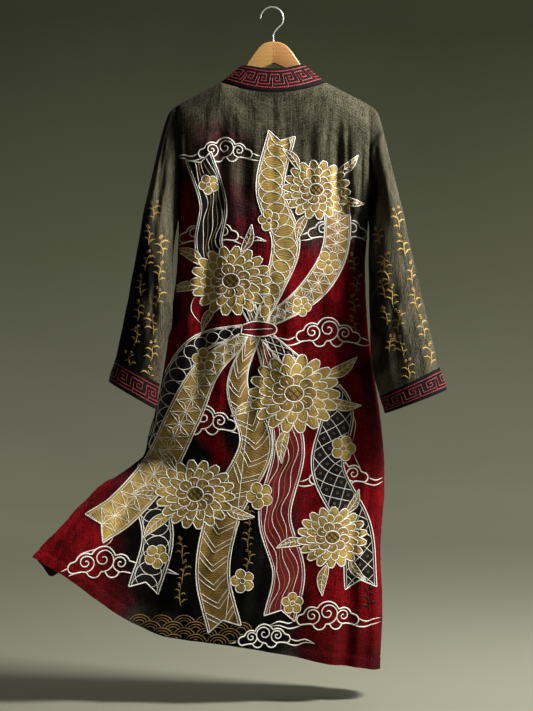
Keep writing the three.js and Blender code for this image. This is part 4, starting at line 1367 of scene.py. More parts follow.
class Picture:
    """A planar drawing of shapes, listed front to back, which is then sewn on one side of the cloth."""

    LATTICE = 7.0  # spacing of the points inside filled shapes
    LATTICE_ROW = 0.87  # spacing of their rows over that
    LOW = -0.5  # the satin's underside, sunk into the cloth
    EDGE = 0.2  # the satin's height at a shape's edge
    HIGH = 0.75  # and inside the shape

    def __init__(self, name, ground, fills, slot):
        self.name = name
        self.ground = ground
        self.fills = fills
        self.slot = slot
        self.shapes = []
        self.loose = []  # (thread, half width, path, taper): lines behind every shape

    def covered(self, points, shapes):
        hidden = np.zeros(len(points), bool)
        for shape in shapes:
            hidden |= inside(points, shape.outline)
        return hidden

    def sew_cords(self, threads):
        for index, shape in enumerate(self.shapes):
            before = self.shapes[:index]
            if shape.edge:
                keep = ~self.covered(shape.outline, before) & self.ground.on_cloth(shape.outline)
                threads[shape.edge].add_clipped(shape.outline, keep, closed=True,
                                                half_wide=shape.edge_half, lift=0.55)
            for thread, half_wide, path in shape.lines:
                path = resample(path, 3.5)
                keep = inside(path, shape.outline) & ~self.covered(path, before)
                keep &= self.ground.on_cloth(path)
                threads[thread].add_clipped(path, keep, half_wide=half_wide, half_high=0.6, lift=0.75)
        for thread, half_wide, path, taper in self.loose:
            path = resample(path, 3.5)
            keep = ~self.covered(path, self.shapes) & self.ground.on_cloth(path)
            threads[thread].add_clipped(path, keep, half_wide=half_wide, taper=taper)

    def sew_fills(self):
        corners, outlines = [], []
        for shape in self.shapes:
            start = len(corners)
            corners += shape.outline.tolist()
            outlines.append(list(range(start, len(corners))))
        everything = np.array(corners)
        low, high = everything.min(axis=0), everything.max(axis=0)
        rows = np.arange(low[1], high[1], self.LATTICE * self.LATTICE_ROW)
        columns = np.arange(low[0], high[0], self.LATTICE)
        lattice = np.array([(x + (k % 2) * self.LATTICE / 2, z) for k, z in enumerate(rows) for x in columns])
        lattice = lattice[self.covered(lattice, self.shapes)]
        spots = [Vector(p) for p in corners + lattice.tolist()]
        made = delaunay_2d_cdt(spots, [], outlines, 1, 1e-4)
        points = np.array([(p[0], p[1]) for p in made[0]])
        triangles, owners = [], []
        for triangle, origins in zip(made[2], made[5]):
            owner = min(origins) if origins else None
            if owner is None or self.shapes[owner].fill is None:
                continue
            triangles.append(list(triangle))
            owners.append(owner)
        triangles = np.array(triangles)
        owners = np.array(owners)
        keep = self.ground.on_cloth(points)[triangles].all(axis=1)
        self.mesh_fills(points, triangles[keep], owners[keep])

    def mesh_fills(self, points, triangles, owners):
        """Closed, softly padded satin stitch: raised inside each shape, and sunk at its edges."""
        sides = {}
        for triangle, owner in zip(triangles.tolist(), owners.tolist()):
            for a, b in zip(triangle, triangle[1:] + triangle[:1]):
                sides.setdefault((min(a, b), max(a, b)), []).append((owner, a, b))
        on_edge = np.zeros(len(points), bool)
        rim = []
        for (a, b), users in sides.items():
            if len(users) == 1:
                rim.append(users[0][1:])
            if len(users) == 1 or users[0][0] != users[1][0]:
                on_edge[[a, b]] = True
        place, normal = self.ground.lay(points)
        height = np.where(on_edge, self.EDGE, self.HIGH)
        top = place + normal * height[:, None]
        bottom = place + normal * self.LOW
        count = len(points)
        faces = triangles.tolist() + (triangles[:, ::-1] + count).tolist()
        faces += [[a, a + count, b + count, b] for a, b in rim]
        flat_uv = np.zeros((len(triangles), 3, 2))
        for index, shape in enumerate(self.shapes):
            mine = owners == index
            if mine.any():
                flat_uv[mine] = shape.frame(points[triangles[mine]].reshape(-1, 2)).reshape(-1, 3, 2)
        uv = np.concatenate([flat_uv.reshape(-1, 2), flat_uv.reshape(-1, 2),
                             np.zeros((4 * len(rim), 2))]) * MM
        fill = np.array([self.shapes[k].fill for k in owners])
        material = np.concatenate([fill, fill, np.zeros(len(rim), int)])
        used = np.unique(np.concatenate([triangles.ravel(), triangles.ravel() + count]))
        renumber = np.full(2 * count, -1)
        renumber[used] = np.arange(len(used))
        vertices = np.concatenate([top, bottom])[used]
        faces = [[int(renumber[k]) for k in face] for face in faces]
        mesh = make_mesh(f"{self.name}_satin", vertices, faces, uv, material, self.fills, sharp=70)
        return new_object(f"{self.name}_satin", mesh, self.slot)


# ------------------------------------------------------------------ key fret of the bands
FRET_CELL = 4.85
FRET_PITCH = 8  # cells from one key to the next
FRET_STROKE = 1.1  # half width of the embroidered stroke
FRET_STEP = 8.0
FRET_FOOT = 9.5  # from the band's seam edge to the lower border line
FRET_HEAD = 41.5  # and to the upper one
FRET_HIGH = 8  # cells from the lower border line to the upper one
FRET_KEY = [(0, 1.6), (6.5, 1.6), (6.5, 6.4), (12.2, 6.4), (12.2, 3.2), (9.6, 3.2), (9.6, 4.9), (10.9, 4.9)]
FRET_TOOTH = [(0, 0), (0, 4.9)]
STROKE_SECTION = [(-1, -0.25), (-1, 0.45), (0, 0.85), (1, 0.45), (1, -0.25)]


class Strokes:
    """Raised, mitred strokes of satin stitch on a surface given as a function of two lengths."""

    def __init__(self, surface):
        self.surface = surface
        self.vertices, self.faces, self.uv = [], [], []
        self.count = 0

    def add(self, path):
        path = np.asarray(path, float)
        way = unit(np.diff(path, axis=0))
        before = np.concatenate([way[:1], way])
        after = np.concatenate([way, way[-1:]])
        side = stack(-before[:, 1] - after[:, 1], before[:, 0] + after[:, 0])
        side = side / (1 + (before * after).sum(axis=1))[:, None] * FRET_STROKE
        middle, reach = [], []
        for k in range(len(path) - 1):
            pieces = max(int(np.ceil(np.linalg.norm(path[k + 1] - path[k]) / FRET_STEP)), 1)
            share = np.arange(pieces)[:, None] / pieces
            middle.append(mix(path[k], path[k + 1], share))
            reach.append(mix(side[k], side[k + 1], share))
        middle = np.concatenate([*middle, path[-1:]])
        reach = np.concatenate([*reach, side[-1:]])
        run = run_length(middle)
        rings = []
        for across, height in STROKE_SECTION:
            spot = middle + reach * across
            point, normal = self.surface(spot[:, 0], spot[:, 1])
            rings.append(point + normal * height)
        rings = np.stack(rings, axis=1)
        rows, columns = rings.shape[:2]
        for i in range(rows - 1):
            for j in range(columns):
                beside = (j + 1) % columns
                corners = [(i, j), (i, beside), (i + 1, beside), (i + 1, j)]
                self.uv += [(run[a] * MM, b * FRET_STROKE * MM) for a, b in corners]
        self.uv += [(0, 0)] * (2 * columns)
        self.faces += capped_tube(rows, columns, self.count)
        self.vertices.append(rings.reshape(-1, 3))
        self.count += rows * columns

    def sew(self, name, slot, material):
        mesh = make_mesh(name, np.concatenate(self.vertices), self.faces, self.uv,
                         np.zeros(len(self.faces), int), [material], sharp=40)
        outward_faces(mesh)
        return new_object(name, mesh, slot)


def fret(strokes, start, end, foot, head, endless=False):
    """A run of interlocking square keys between two border lines."""
    count = int(round((end - start) / (FRET_CELL * FRET_PITCH)))
    cell = ((end - start) / count / FRET_PITCH, (head - foot) / FRET_HIGH)
    for k in range(count):
        corner = np.array([start + k * FRET_PITCH * cell[0], foot])
        last = k == count - 1 and not endless
        strokes.add(np.array(FRET_KEY[: 2 if last else None]) * cell + corner)
        strokes.add(np.array(FRET_TOOTH) * cell + corner)
    if not endless:
        lead = np.array(FRET_KEY[2:]) - (FRET_PITCH, 0)
        lead[0, 0] = 0
        strokes.add(lead * cell + (start, foot))
    for level in (foot, head):
        strokes.add([(start, level), (end, level)])


def embroider_neckband():
    """The key fret on the neckband."""
    def surface(at, over):
        point, normal = band_frame(at, over / BAND_WIDTH)
        return point + normal * BAND_PLUMP, normal

    strokes = Strokes(surface)
    fret(strokes, 6, BAND_ALONG[-1] - 6, FRET_FOOT, FRET_HEAD)
    return strokes.sew("neckband_fret", "band_cloth", RED_THREAD)


CUFF_HEIGHT = 50  # of a cuff's band, from its mouth
CUFF_FRET_FOOT = 7.5  # from the cuff's mouth to the lower border line
CUFF_FRET_HEAD = 42.5
CUFF_STATIONS = 241


def embroider_cuff(name):
    """The key fret round a cuff."""
    side = SIDES[name]
    turns = np.linspace(0, 2 * math.pi, CUFF_STATIONS)
    ring = sleeve_point(side, turns, np.full(CUFF_STATIONS, mix(CUFF_FROM, 1, 0.5)), CUFF_PROUD)
    around = run_length(ring)

    def place(at, over):
        turn = np.interp(at % around[-1], around, turns)
        return sleeve_point(side, turn, mix(1, CUFF_FROM, over / CUFF_HEIGHT), CUFF_PROUD)

    def surface(at, over):
        point = place(at, over)
        run = place(at + 1.5, over) - place(at - 1.5, over)
        up = place(at, over + 1.0) - place(at, over - 1.0)
        return point, unit(np.cross(run, up)) * -side

    strokes = Strokes(surface)
    fret(strokes, 0, around[-1], CUFF_FRET_FOOT, CUFF_FRET_HEAD, endless=True)
    return strokes.sew(f"cuff_{name}_fret", "band_cloth", RED_THREAD)


# ------------------------------------------------------------------ motifs, drawn in mm
def turned(points, place, turn=0.0, size=1.0, mirror=False):
    """Points of a motif turned, sized and moved to their place."""
    points = np.asarray(points, float) * size
    if mirror:
        points = points * (-1, 1)
    c, s = math.cos(turn), math.sin(turn)
    return stack(points[:, 0] * c - points[:, 1] * s, points[:, 0] * s + points[:, 1] * c) + place


GOLD, PALE_GOLD, DARK_SATIN, RED_SATIN = range(4)
PETALS = 16  # in a flower's middle ring
SQUASH = 0.86  # a flower's height over its width
PETAL_NOTCH = 0.05  # depth of the notch in a petal's tip
LEAF_WIDE = 0.3  # a leaf's width over its length
LONG_LEAF = 66  # longer leaves are of the brighter gold
RIBBON_START = 13  # half width of each ribbon at the knot
CLOUD_EDGE = 1.5  # half width of a cloud's outline
SPRIG_LINE = 1.4  # and of a sprig's stem


def petal(inner, outer, half_angle, turn, place):
    """A long rounded petal that grows outwards from a flower's middle."""
    t = np.linspace(0, 1, 13)
    radius = inner + (outer - inner) * t
    wide = half_angle * outer * np.sin(np.pi * np.clip(t * 0.78 + 0.03, 0, 1)) ** 0.85
    tip = np.linspace(-1, 1, 9)
    notch = PETAL_NOTCH * outer * np.exp(-(tip / 0.25) ** 2)
    crown = outer + (outer - inner) * 0.13 * np.cos(tip * math.pi / 2) - notch
    edge = np.concatenate([
        stack(-wide, radius),
        stack(tip * wide[-1], crown)[1:-1],
        stack(wide, radius)[::-1],
    ])
    return turned(edge, (0, 0), turn) * (1, SQUASH) + place


def chrysanthemum(picture, place, radius, turn):
    """A full flower in three rings of petals round a netted middle."""
    heart = radius * 0.2
    disc = circle(24) * heart * (1, SQUASH) + place
    net = []
    for k in (-0.55, 0, 0.55):
        line = np.array([(-1, k), (1, k)]) * heart
        net.append(("dark", 0.7, turned(line, place, 0.8)))
        net.append(("dark", 0.7, turned(line, place, -0.8)))
    picture.shapes.append(Shape(disc, PALE_GOLD, straight_frame(0.4), lines=net))
    rings = [
        (0.5, PETALS // 2 + 1, 0.34, PALE_GOLD),
        (0.76, PETALS, 0.19, GOLD),
        (1.0, PETALS + 2, 0.165, GOLD),
    ]
    for layer, (reach, count, half_angle, fill) in enumerate(rings):
        for k in range(count):
            angle = turn + 2 * math.pi * (k + 0.5 * (layer % 2)) / count
            outline = petal(heart * 0.7, radius * reach * 0.88, half_angle, angle, place)
            vein = np.array([(0, heart * 1.25), (0, radius * reach * 0.7)])
            vein = turned(vein, (0, 0), angle) * (1, SQUASH) + place
            edge_half = 1.05 if layer < 2 else 1.25
            picture.shapes.append(Shape(outline, fill, straight_frame(angle), edge_half=edge_half,
                                        lines=[("fine", 0.6, vein)]))


def blossom(picture, place, radius, turn):
    """A small five-petalled plum blossom."""
    disc = circle(14) * radius * 0.22 + place
    picture.shapes.append(Shape(disc, PALE_GOLD, edge_half=0.8))
    for k in range(5):
        angle = turn + 2 * math.pi * k / 5
        middle = np.array([-math.sin(angle), math.cos(angle)]) * radius * 0.58
        outline = turned(circle(14) * (0.42, 0.4) * radius, middle + place, angle)
        picture.shapes.append(Shape(outline, GOLD, straight_frame(angle), edge_half=0.95))


def leaf(picture, place, length, turn, fill):
    """A pointed, slightly curved leaf with a midrib and side veins."""
    t = np.linspace(0, 1, 14)
    spine = stack(0.1 * length * np.sin(t * math.pi), t * length)
    half = LEAF_WIDE * length * np.sin(math.pi * t**0.8) * 0.5
    outline = np.concatenate([spine + stack(-half, 0 * t), (spine + stack(half, 0 * t))[::-1][1:-1]])
    lines = [("white", 0.75, turned(spine[:-1], place, turn))]
    for k in (4, 6, 8, 10):
        for side in (-1, 1):
            vein = np.array([spine[k], spine[k] + (side * half[k] * 0.85, length * 0.12)])
            lines.append(("fine", 0.5, turned(vein, place, turn)))
    picture.shapes.append(Shape(turned(outline, place, turn), fill, straight_frame(turn + 0.7),
                                edge_half=0.95, lines=lines))


def ribbon_frame(line):
    """Stitch coordinates along and across a ribbon, from the nearest place on its middle line."""
    run = run_length(line)
    tangent = unit(np.gradient(line, axis=0))

    def frame(points):
        gap = points[:, None] - line[None]
        nearest = np.argmin((gap**2).sum(axis=-1), axis=1)
        offset = points - line[nearest]
        ahead = (offset * tangent[nearest]).sum(axis=1)
        aside = offset[:, 0] * -tangent[nearest, 1] + offset[:, 1] * tangent[nearest, 0]
        return stack(run[nearest] + ahead, aside)

    return frame


def ribbon(picture, knots, half_end, fill, pattern):
    """A long flowing ribbon through knots, widening from its start, with a pattern of lines on it."""
    line = resample(catmull(knots, 12), 4.0)
    tangent = unit(np.gradient(line, axis=0))
    aside = stack(-tangent[:, 1], tangent[:, 0])
    share = np.linspace(0, 1, len(line))
    half = mix(RIBBON_START, half_end, smoothstep(0, 0.45, share))
    left = line + aside * half[:, None]
    right = line - aside * half[:, None]
    tip = line[-1] + tangent[-1] * half[-1] * -0.55
    outline = np.concatenate([left, [tip], right[::-1]])
    run = run_length(line)

    def on_ribbon(path):
        """From (mm along, share across from -1 to 1) to the drawing."""
        path = np.asarray(path, float)
        at = np.clip(path[:, 0], 0, run[-1])
        middle = stack(np.interp(at, run, line[:, 0]), np.interp(at, run, line[:, 1]))
        out = stack(np.interp(at, run, aside[:, 0]), np.interp(at, run, aside[:, 1]))
        reach = np.interp(at, run, half) * path[:, 1]
        return middle + unit(out) * reach[:, None]

    lines = [(thread, wide, on_ribbon(path)) for thread, wide, path in pattern(run[-1], half_end)]
    for rail in (-0.86, 0.86):
        path = stack(np.linspace(0, run[-1], 80), rail)
        lines.append(("fine", 0.6, on_ribbon(path)))
    picture.shapes.append(Shape(outline, fill, ribbon_frame(line), edge_half=1.35, lines=lines))


def circles_pattern(length, half):
    """Interlocking circles, as on the old seven-treasures pattern."""
    radius = half * 0.86
    paths = []
    for k in range(int(length / radius) + 1):
        ring = circle(26, endpoint=True) * (radius, 0.84) + (k * radius, 0)
        ring[:, 0] = np.clip(ring[:, 0], 0, length)
        paths.append(("fine", 0.75, ring))
    return paths


def lattice_pattern(length, half):
    """A diagonal lattice with a small lozenge in each opening."""
    pitch = half * 0.95
    paths = []
    for k in range(-2, int(length / pitch) + 2):
        t = np.linspace(-0.84, 0.84, 9)
        for lean in (-1, 1):
            path = stack((k + 0.5) * pitch + lean * t * pitch, t)
            paths.append(("fine", 0.7, path[(path[:, 0] > 0) & (path[:, 0] < length)]))
        for offset, across in ((0, 0), (0.5, 0.5), (0.5, -0.5)):
            middle = (k + offset) * pitch
            if 0 < middle < length:
                diamond = np.array([(-3, 0), (0, 3 / half), (3, 0), (0, -3 / half), (-3, 0)])
                paths.append(("old", 0.7, diamond + (middle, across)))
    return [entry for entry in paths if len(entry[2]) > 2]


def hemp_pattern(length, half):
    """Hemp-leaf stars: a net of triangles with a three-armed star in each."""
    pitch = half * 0.84
    paths = []
    for k in range(-1, int(length / pitch) + 2):
        a = np.array([k * pitch, 0.0])
        b = np.array([(k + 1) * pitch, 0.0])
        for side in (-1, 1):
            c = np.array([(k + 0.5) * pitch, side * 0.84])
            middle = (a + b + c) / 3
            for corner in (a, b, c):
                paths.append(("fine", 0.6, mixed_line(corner, middle)))
            paths.append(("fine", 0.6, mixed_line(a, c)))
            paths.append(("fine", 0.6, mixed_line(b, c)))
        paths.append(("fine", 0.6, mixed_line(a, b)))
    return [(t, w, p[(p[:, 0] >= 0) & (p[:, 0] <= length)]) for t, w, p in paths
            if ((p[:, 0] >= 0) & (p[:, 0] <= length)).sum() > 2]


def mixed_line(a, b):
    """Six even points from a to b."""
    return a + (b - a) * np.linspace(0, 1, 6)[:, None]


def feather_pattern(length, half):
    """Arrow feathers: double chevrons that follow each other along the ribbon."""
    pitch = half * 1.1
    paths = []
    for k in range(-1, int(length / pitch) + 1):
        for gap in (0, 0.3):
            path = np.array([(0, -0.84), (0.35, -0.42), (0.7, 0), (0.35, 0.42), (0, 0.84)])
            path = path * (pitch, 1) + ((k + gap) * pitch, 0)
            paths.append(("fine", 0.7, path[(path[:, 0] > 0) & (path[:, 0] < length)]))
    rib = np.array([(0, 0), (length, 0)])
    paths.append(("fine", 0.7, rib))
    return [entry for entry in paths if len(entry[2]) > 1]


def wave_pattern(length, half):
    """Long running waves along the ribbon."""
    at = np.linspace(0, length, max(int(length / 4), 10))
    paths = []
    for rail in (-0.62, -0.34, -0.06, 0.22, 0.5):
        wave = rail + 0.12 * np.sin(at / 14 + rail * 3)
        paths.append(("fine" if rail in (-0.62, -0.06, 0.5) else "old", 0.7, stack(at, wave)))
    return paths


# Middle and radius of each lobe. The first three carry a curl.
CLOUD_LOBES = [
    (0, 10, 21), (-29, 5, 16), (29, 3, 15), (-48, -3, 10), (48, -5, 10), (-16, -9, 12), (15, -10, 11),
]
CLOUD_TAILS = [
    [(50, 2), (72, -9), (94, -4), (128, -17)],
    [(44, -14), (68, -19), (94, -13), (128, -17)],
    [(-52, 1), (-72, -9), (-92, -5), (-114, -14)],
    [(-46, -12), (-70, -19), (-92, -12), (-114, -14)],
]


def cloud(picture, place, size, mirror):
    """A traditional cloud: round lobes in one scalloped outline, curls inside and long double tails."""
    ray = circle(132)
    reach = np.zeros(len(ray))
    for x, z, radius in CLOUD_LOBES:
        nearest = ray @ (x, z)
        inside_by = radius**2 - (x**2 + z**2 - nearest**2)
        far_side = nearest + np.sqrt(np.maximum(inside_by, 0))
        reach = np.maximum(reach, np.where(inside_by > 0, far_side, 0))
    outline = turned(ray * reach[:, None], place, 0, size, mirror)
    curls = []
    for x, z, radius in CLOUD_LOBES[:3]:
        way = 1 if x <= 0 else -1
        share = np.linspace(0, 1, 44)
        curl_reach = radius * (0.14 + 0.86 * (1 - share) ** 1.2)
        turn = math.pi / 2 - way * (1.05 * math.pi - 3.3 * math.pi * share)
        curl = stack(x + curl_reach * np.cos(turn), z + curl_reach * np.sin(turn))
        curls.append(("white", CLOUD_EDGE * 0.85, turned(curl, place, 0, size, mirror)))
    picture.shapes.append(Shape(outline, edge_half=CLOUD_EDGE, lines=curls))
    for tail in CLOUD_TAILS:
        path = turned(catmull(tail, 8), place, 0, size, mirror)
        picture.loose.append(("white", CLOUD_EDGE, path, True))


def sprig(picture, place, height, lean, seed, colour):
    """A small upright reed sprig in brush-like strokes: a stem, crossing leaves and buds."""
    rng = np.random.default_rng(seed)
    stalk = [(0, 0), (rng.uniform(-3, 3), 0.35), (rng.uniform(-3, 3), 0.7), (rng.uniform(-4, 4), 1)]
    stalk = [(x, z * height) for x, z in stalk]
    picture.loose.append((colour, SPRIG_LINE, turned(catmull(stalk, 6), place, lean), True))
    for k in range(4):
        side = 1 if (k + seed) % 2 else -1
        root = np.array([0, (0.18 + 0.2 * k) * height])
        reach = height * rng.uniform(0.26, 0.42)
        fall = rng.uniform(-0.15, 0.35)
        middle = root + (side * reach * 0.55, reach * (0.42 - fall * 0.3))
        tip = root + (side * reach, reach * (0.35 - fall))
        blade = turned(catmull([root, middle, tip], 6), place, lean)
        picture.loose.append((colour, SPRIG_LINE * 1.35, blade, True))
    for k in range(2):
        bud = turned([(rng.uniform(-7, 7), height * (1.06 + 0.09 * k))], place, lean)[0]
        ring = circle(8) * 2.6 + bud
        picture.loose.append((colour, SPRIG_LINE, np.concatenate([ring, ring[:1]]), False))


def sea_waves(picture, place, rows, columns, radius):
    """Rows of nested wave arcs, each row half hidden by the one below it."""
    arc = np.linspace(0, math.pi, 16)
    for row in range(rows):
        count = columns - abs(row - rows // 2)
        for k in range(count):
            middle = place + np.array([(k - count / 2 + 0.5) * 2 * radius, row * radius * 0.55])
            crest = stack(np.cos(arc) * radius, np.sin(arc) * radius * 0.8)
            foot = np.array([(-radius, -radius * 0.3), (radius, -radius * 0.3)])
            outline = np.concatenate([crest + middle, foot + middle])
            rings = [("old", 0.7, stack(np.cos(arc), np.sin(arc) * 0.8) * radius * share + middle)
                     for share in (0.72, 0.44)]
            picture.shapes.append(Shape(outline, edge="old", edge_half=0.85, lines=rings))


def flower_with_leaves(picture, place, radius, turn, leaves):
    """A chrysanthemum before its leaves, each given by its angle in degrees and its length."""
    chrysanthemum(picture, place, radius, turn)
    for angle, length in leaves:
        way = math.radians(angle)
        root = place + np.array([-math.sin(way), math.cos(way)]) * radius * 0.72
        leaf(picture, root, length, way, GOLD if length > LONG_LEAF else PALE_GOLD)


KNOT = np.array([-34.0, -702.0])


def draw_back(picture):
    """Chrysanthemums over a tied bundle of long patterned ribbons, with clouds and waves behind."""
    flower_with_leaves(picture, (-92, -600), 92, 0.2, [(60, 78), (100, 70), (150, 60), (-20, 64)])
    flower_with_leaves(picture, (44, -842), 104, 0.5, [(-60, 84), (-100, 74), (110, 70), (170, 78)])
    flower_with_leaves(picture, (92, -404), 78, 0.1, [(-50, 62), (-105, 54), (40, 60), (160, 66)])
    flower_with_leaves(picture, (-168, -1058), 90, 0.8, [(90, 74), (130, 80), (40, 62), (-110, 72)])
    flower_with_leaves(picture, (126, -1150), 80, 0.3, [(-142, 62), (-30, 60), (100, 66), (170, 70)])
    for place, radius, turn in [((-10, -470), 24, 0.2), ((118, -560), 27, 0.6), ((-150, -770), 27, 0.1),
                                ((150, -960), 28, 0.9), ((-30, -1060), 30, 0.4), ((-250, -1190), 27, 0.7),
                                ((-66, -1240), 26, 0.3), ((40, -1290), 24, 0.0), ((-140, -392), 22, 0.5),
                                ((60, -655), 22, 0.8)]:
        blossom(picture, place, radius, turn)
    tie = [KNOT + step for step in [(-34, 6), (-6, 15), (34, 8), (38, -10), (4, -18), (-36, -12)]]
    picture.shapes.append(Shape(catmull(tie, 5), RED_SATIN, edge_half=1.4,
                                lines=[("white", 0.7, np.array([KNOT + (-30, -3), KNOT + (32, -1)]))]))
    ribbons = [
        ([(38, 96), (60, 190), (26, 300), (52, 420)], 30, GOLD, circles_pattern),
        ([(-44, -120), (-4, -250), (-70, -390), (-96, -520), (-70, -640)], 36, PALE_GOLD, feather_pattern),
        ([(-40, 84), (-104, 170), (-96, 270), (-128, 372)], 29, DARK_SATIN, wave_pattern),
        ([(84, -82), (170, -170), (150, -300), (210, -430), (222, -560)], 35, DARK_SATIN, lattice_pattern),
        ([(-104, -84), (-160, -190), (-214, -300), (-288, -386), (-350, -428)], 36, GOLD, hemp_pattern),
        ([(40, -130), (66, -260), (36, -400), (66, -520), (46, -620)], 34, RED_SATIN, wave_pattern),
        ([(104, 70), (160, 150), (172, 240), (150, 330)], 28, PALE_GOLD, hemp_pattern),
        ([(-120, -30), (-176, -110), (-196, -220), (-232, -330), (-214, -450), (-244, -560)], 33, DARK_SATIN,
         circles_pattern),
    ]
    for knots, half, fill, pattern in ribbons:
        ribbon(picture, [KNOT] + [KNOT + knot for knot in knots], half, fill, pattern)
    clouds = [
        (-104, -322, 1.0, False), (138, -492, 1.1, True), (-140, -500, 1.1, True),
        (118, -716, 1.2, False), (-150, -905, 1.2, False), (140, -1020, 1.1, True),
        (-362, -1206, 1.25, False), (-20, -1362, 0.95, True), (116, -1322, 1.15, False),
    ]
    for x, z, size, mirror in clouds:
        cloud(picture, np.array([x, z]), size, mirror)
    sea_waves(picture, np.array([-190.0, -1372.0]), 4, 6, 24)
    sprig_columns(picture, BACK_COLUMNS)
    stems = [
        [(30, -300), (10, -345), (40, -400), (70, -430)],
        [(-150, -700), (-178, -660), (-160, -615)],
        [(140, -860), (176, -900), (170, -960), (190, -1010)],
        [(-280, -1080), (-330, -1110), (-350, -1160), (-410, -1180)],
    ]
    for knots in stems:
        picture.loose.append(("white", 1.0, catmull(knots, 10), True))


THREADS_USED = {
    "white": WHITE_THREAD,
    "fine": WHITE_THREAD,
    "gold": GOLD_THREAD,
    "old": OLD_GOLD_THREAD,
    "dark": BLACK_THREAD,
}


def embroider(name, pieces, slot, draw):
    """Sews one drawing on pieces of cloth: satin areas, and a mesh of cords for each thread."""
    ground = Ground(pieces)
    picture = Picture(name, ground, [GOLD_THREAD, OLD_GOLD_THREAD, BLACK_THREAD, CRIMSON_SATIN], slot)
    draw(picture)
    cords = {key: Cords(f"{name}_{key}_cord", ground, thread_used, slot)
             for key, thread_used in THREADS_USED.items()}
    picture.sew_cords(cords)
    for each in cords.values():
        each.sew()
    if any(shape.fill is not None for shape in picture.shapes):
        picture.sew_fills()


# Columns of sprigs: top x and z, foot x and z, how many, height of each, thread.
LEFT_COLUMNS = [
    (-252, -424, -306, -800, 7, 38, "old"),
    (-232, -500, -270, -836, 6, 40, "gold"),
]
RIGHT_COLUMNS = [
    (258, -440, 336, -790, 6, 44, "gold"),
    (236, -560, 288, -822, 5, 42, "gold"),
    (226, -470, 246, -760, 5, 34, "old"),
]
BACK_COLUMNS = [
    (-192, -1105, -197, -1300, 4, 42, "old"),
    (-50, -1085, -57, -1222, 3, 36, "old"),
    (178, -540, 176, -720, 4, 36, "old"),
    (-188, -760, -200, -900, 3, 36, "old"),
    (30, -330, 26, -420, 2, 40, "old"),
    (-152, -340, -152, -410, 1, 62, "dark"),
    (205, -1270, 205, -1316, 1, 44, "dark"),
]


MOST_HIDDEN = 0.3  # a sprig with a larger share behind other shapes is left out


def sprig_columns(picture, columns):
    """Columns of reed sprigs, without those that stand behind other shapes."""
    for index, (top_x, high, foot_x, low, count, height, colour) in enumerate(columns):
        slope = math.atan2(foot_x - top_x, high - low)
        for k in range(count):
            share = (k + 0.9) / count
            place = np.array([mix(top_x, foot_x, share), mix(high, low, share)])
            lean = slope * 0.6 + 0.16 * math.sin(k * 2.3 + index)
            drawn = len(picture.loose)
            sprig(picture, place, height, lean, seed=10 * index + k, colour=colour)
            points = np.concatenate([path for _, _, path, _ in picture.loose[drawn:]])
            if picture.covered(points, picture.shapes).mean() > MOST_HIDDEN:
                del picture.loose[drawn:]


# ------------------------------------------------------------------ making the robe
backs = {name: sew_panel("back", name) for name in SIDES}
fronts = {name: sew_panel("front", name) for name in SIDES}
sleeves = {name: sew_sleeve(name) for name in SIDES}
cuffs = {name: sew_cuff(name) for name in SIDES}
neckband = sew_neckband()
make_hanger()
make_hook()

embroider("back_picture", backs.values(), "body_cloth", draw_back)
for sleeve_name, columns in (("left", LEFT_COLUMNS), ("right", RIGHT_COLUMNS)):
    embroider(f"sleeve_{sleeve_name}_sprigs", [sleeves[sleeve_name]], "sleeve_cloth",
              lambda picture: sprig_columns(picture, columns))
embroider_neckband()
for cuff_name in SIDES:
    embroider_cuff(cuff_name)

# ------------------------------------------------------------------ floor, light and camera
FLOOR_Z = -1503
WALL_RADIUS = 8000
SWEEP_RADIUS = 2500
WALL_TOP = 4500
STAGE_SIDES = 96
# How the paper glows with painted light of its own, darker higher up: height in metres and screen colour.
PAINTED_GLOW = [(-1.55, (112, 112, 94)), (-1.2, (102, 103, 86)), (-0.1, (80, 82, 64)), (1.35, (50, 52, 37))]


def stage_painted_glow():
    """Matt olive-grey paper of a round studio bowl; away from its middle it glows with painted light, darker
    towards its top, brighter towards +X and dimmer behind the camera.
    """
    n = Nodes("stage_paper_painted_glow")
    place = n.place()
    parts = n.node("ShaderNodeSeparateXYZ", {"Vector": place}).outputs
    mottle = n.noise(place, 0.35, 4.0, 0.55)
    level = n.math("ADD", parts["Z"], n.math("MULTIPLY", n.math("SUBTRACT", mottle, 0.5), 0.9))
    painted_glow = rgb(*PAINTED_GLOW[0][1])
    for (low, _), (high, tone) in zip(PAINTED_GLOW, PAINTED_GLOW[1:]):
        painted_glow = n.blend(n.spread(level, low, high), painted_glow, rgb(*tone))
    # painted light: the glow is brighter on the +X side, where the key light stands, and dimmer behind the
    # camera
    aside = n.spread(parts["X"], -2.2, 2.2, 0.86, 1.14)
    painted_dimming_behind_camera = n.spread(parts["Y"], -4.5, 1.0, 0.35, 1.0)
    painted_glow = n.scaled(painted_glow, n.math("MULTIPLY", aside, painted_dimming_behind_camera))
    far = n.spread(n.length_of(place), 1.2, 4.2)
    n.set(
        Base_Color=n.blend(far, rgb(136, 136, 121), rgb(34, 34, 28)),
        Emission_Color=n.blend(far, rgb(24, 24, 18), painted_glow),
        Emission_Strength=1.0,
        Roughness=0.95,
        Specular_IOR_Level=0.1,
    )
    return n.material


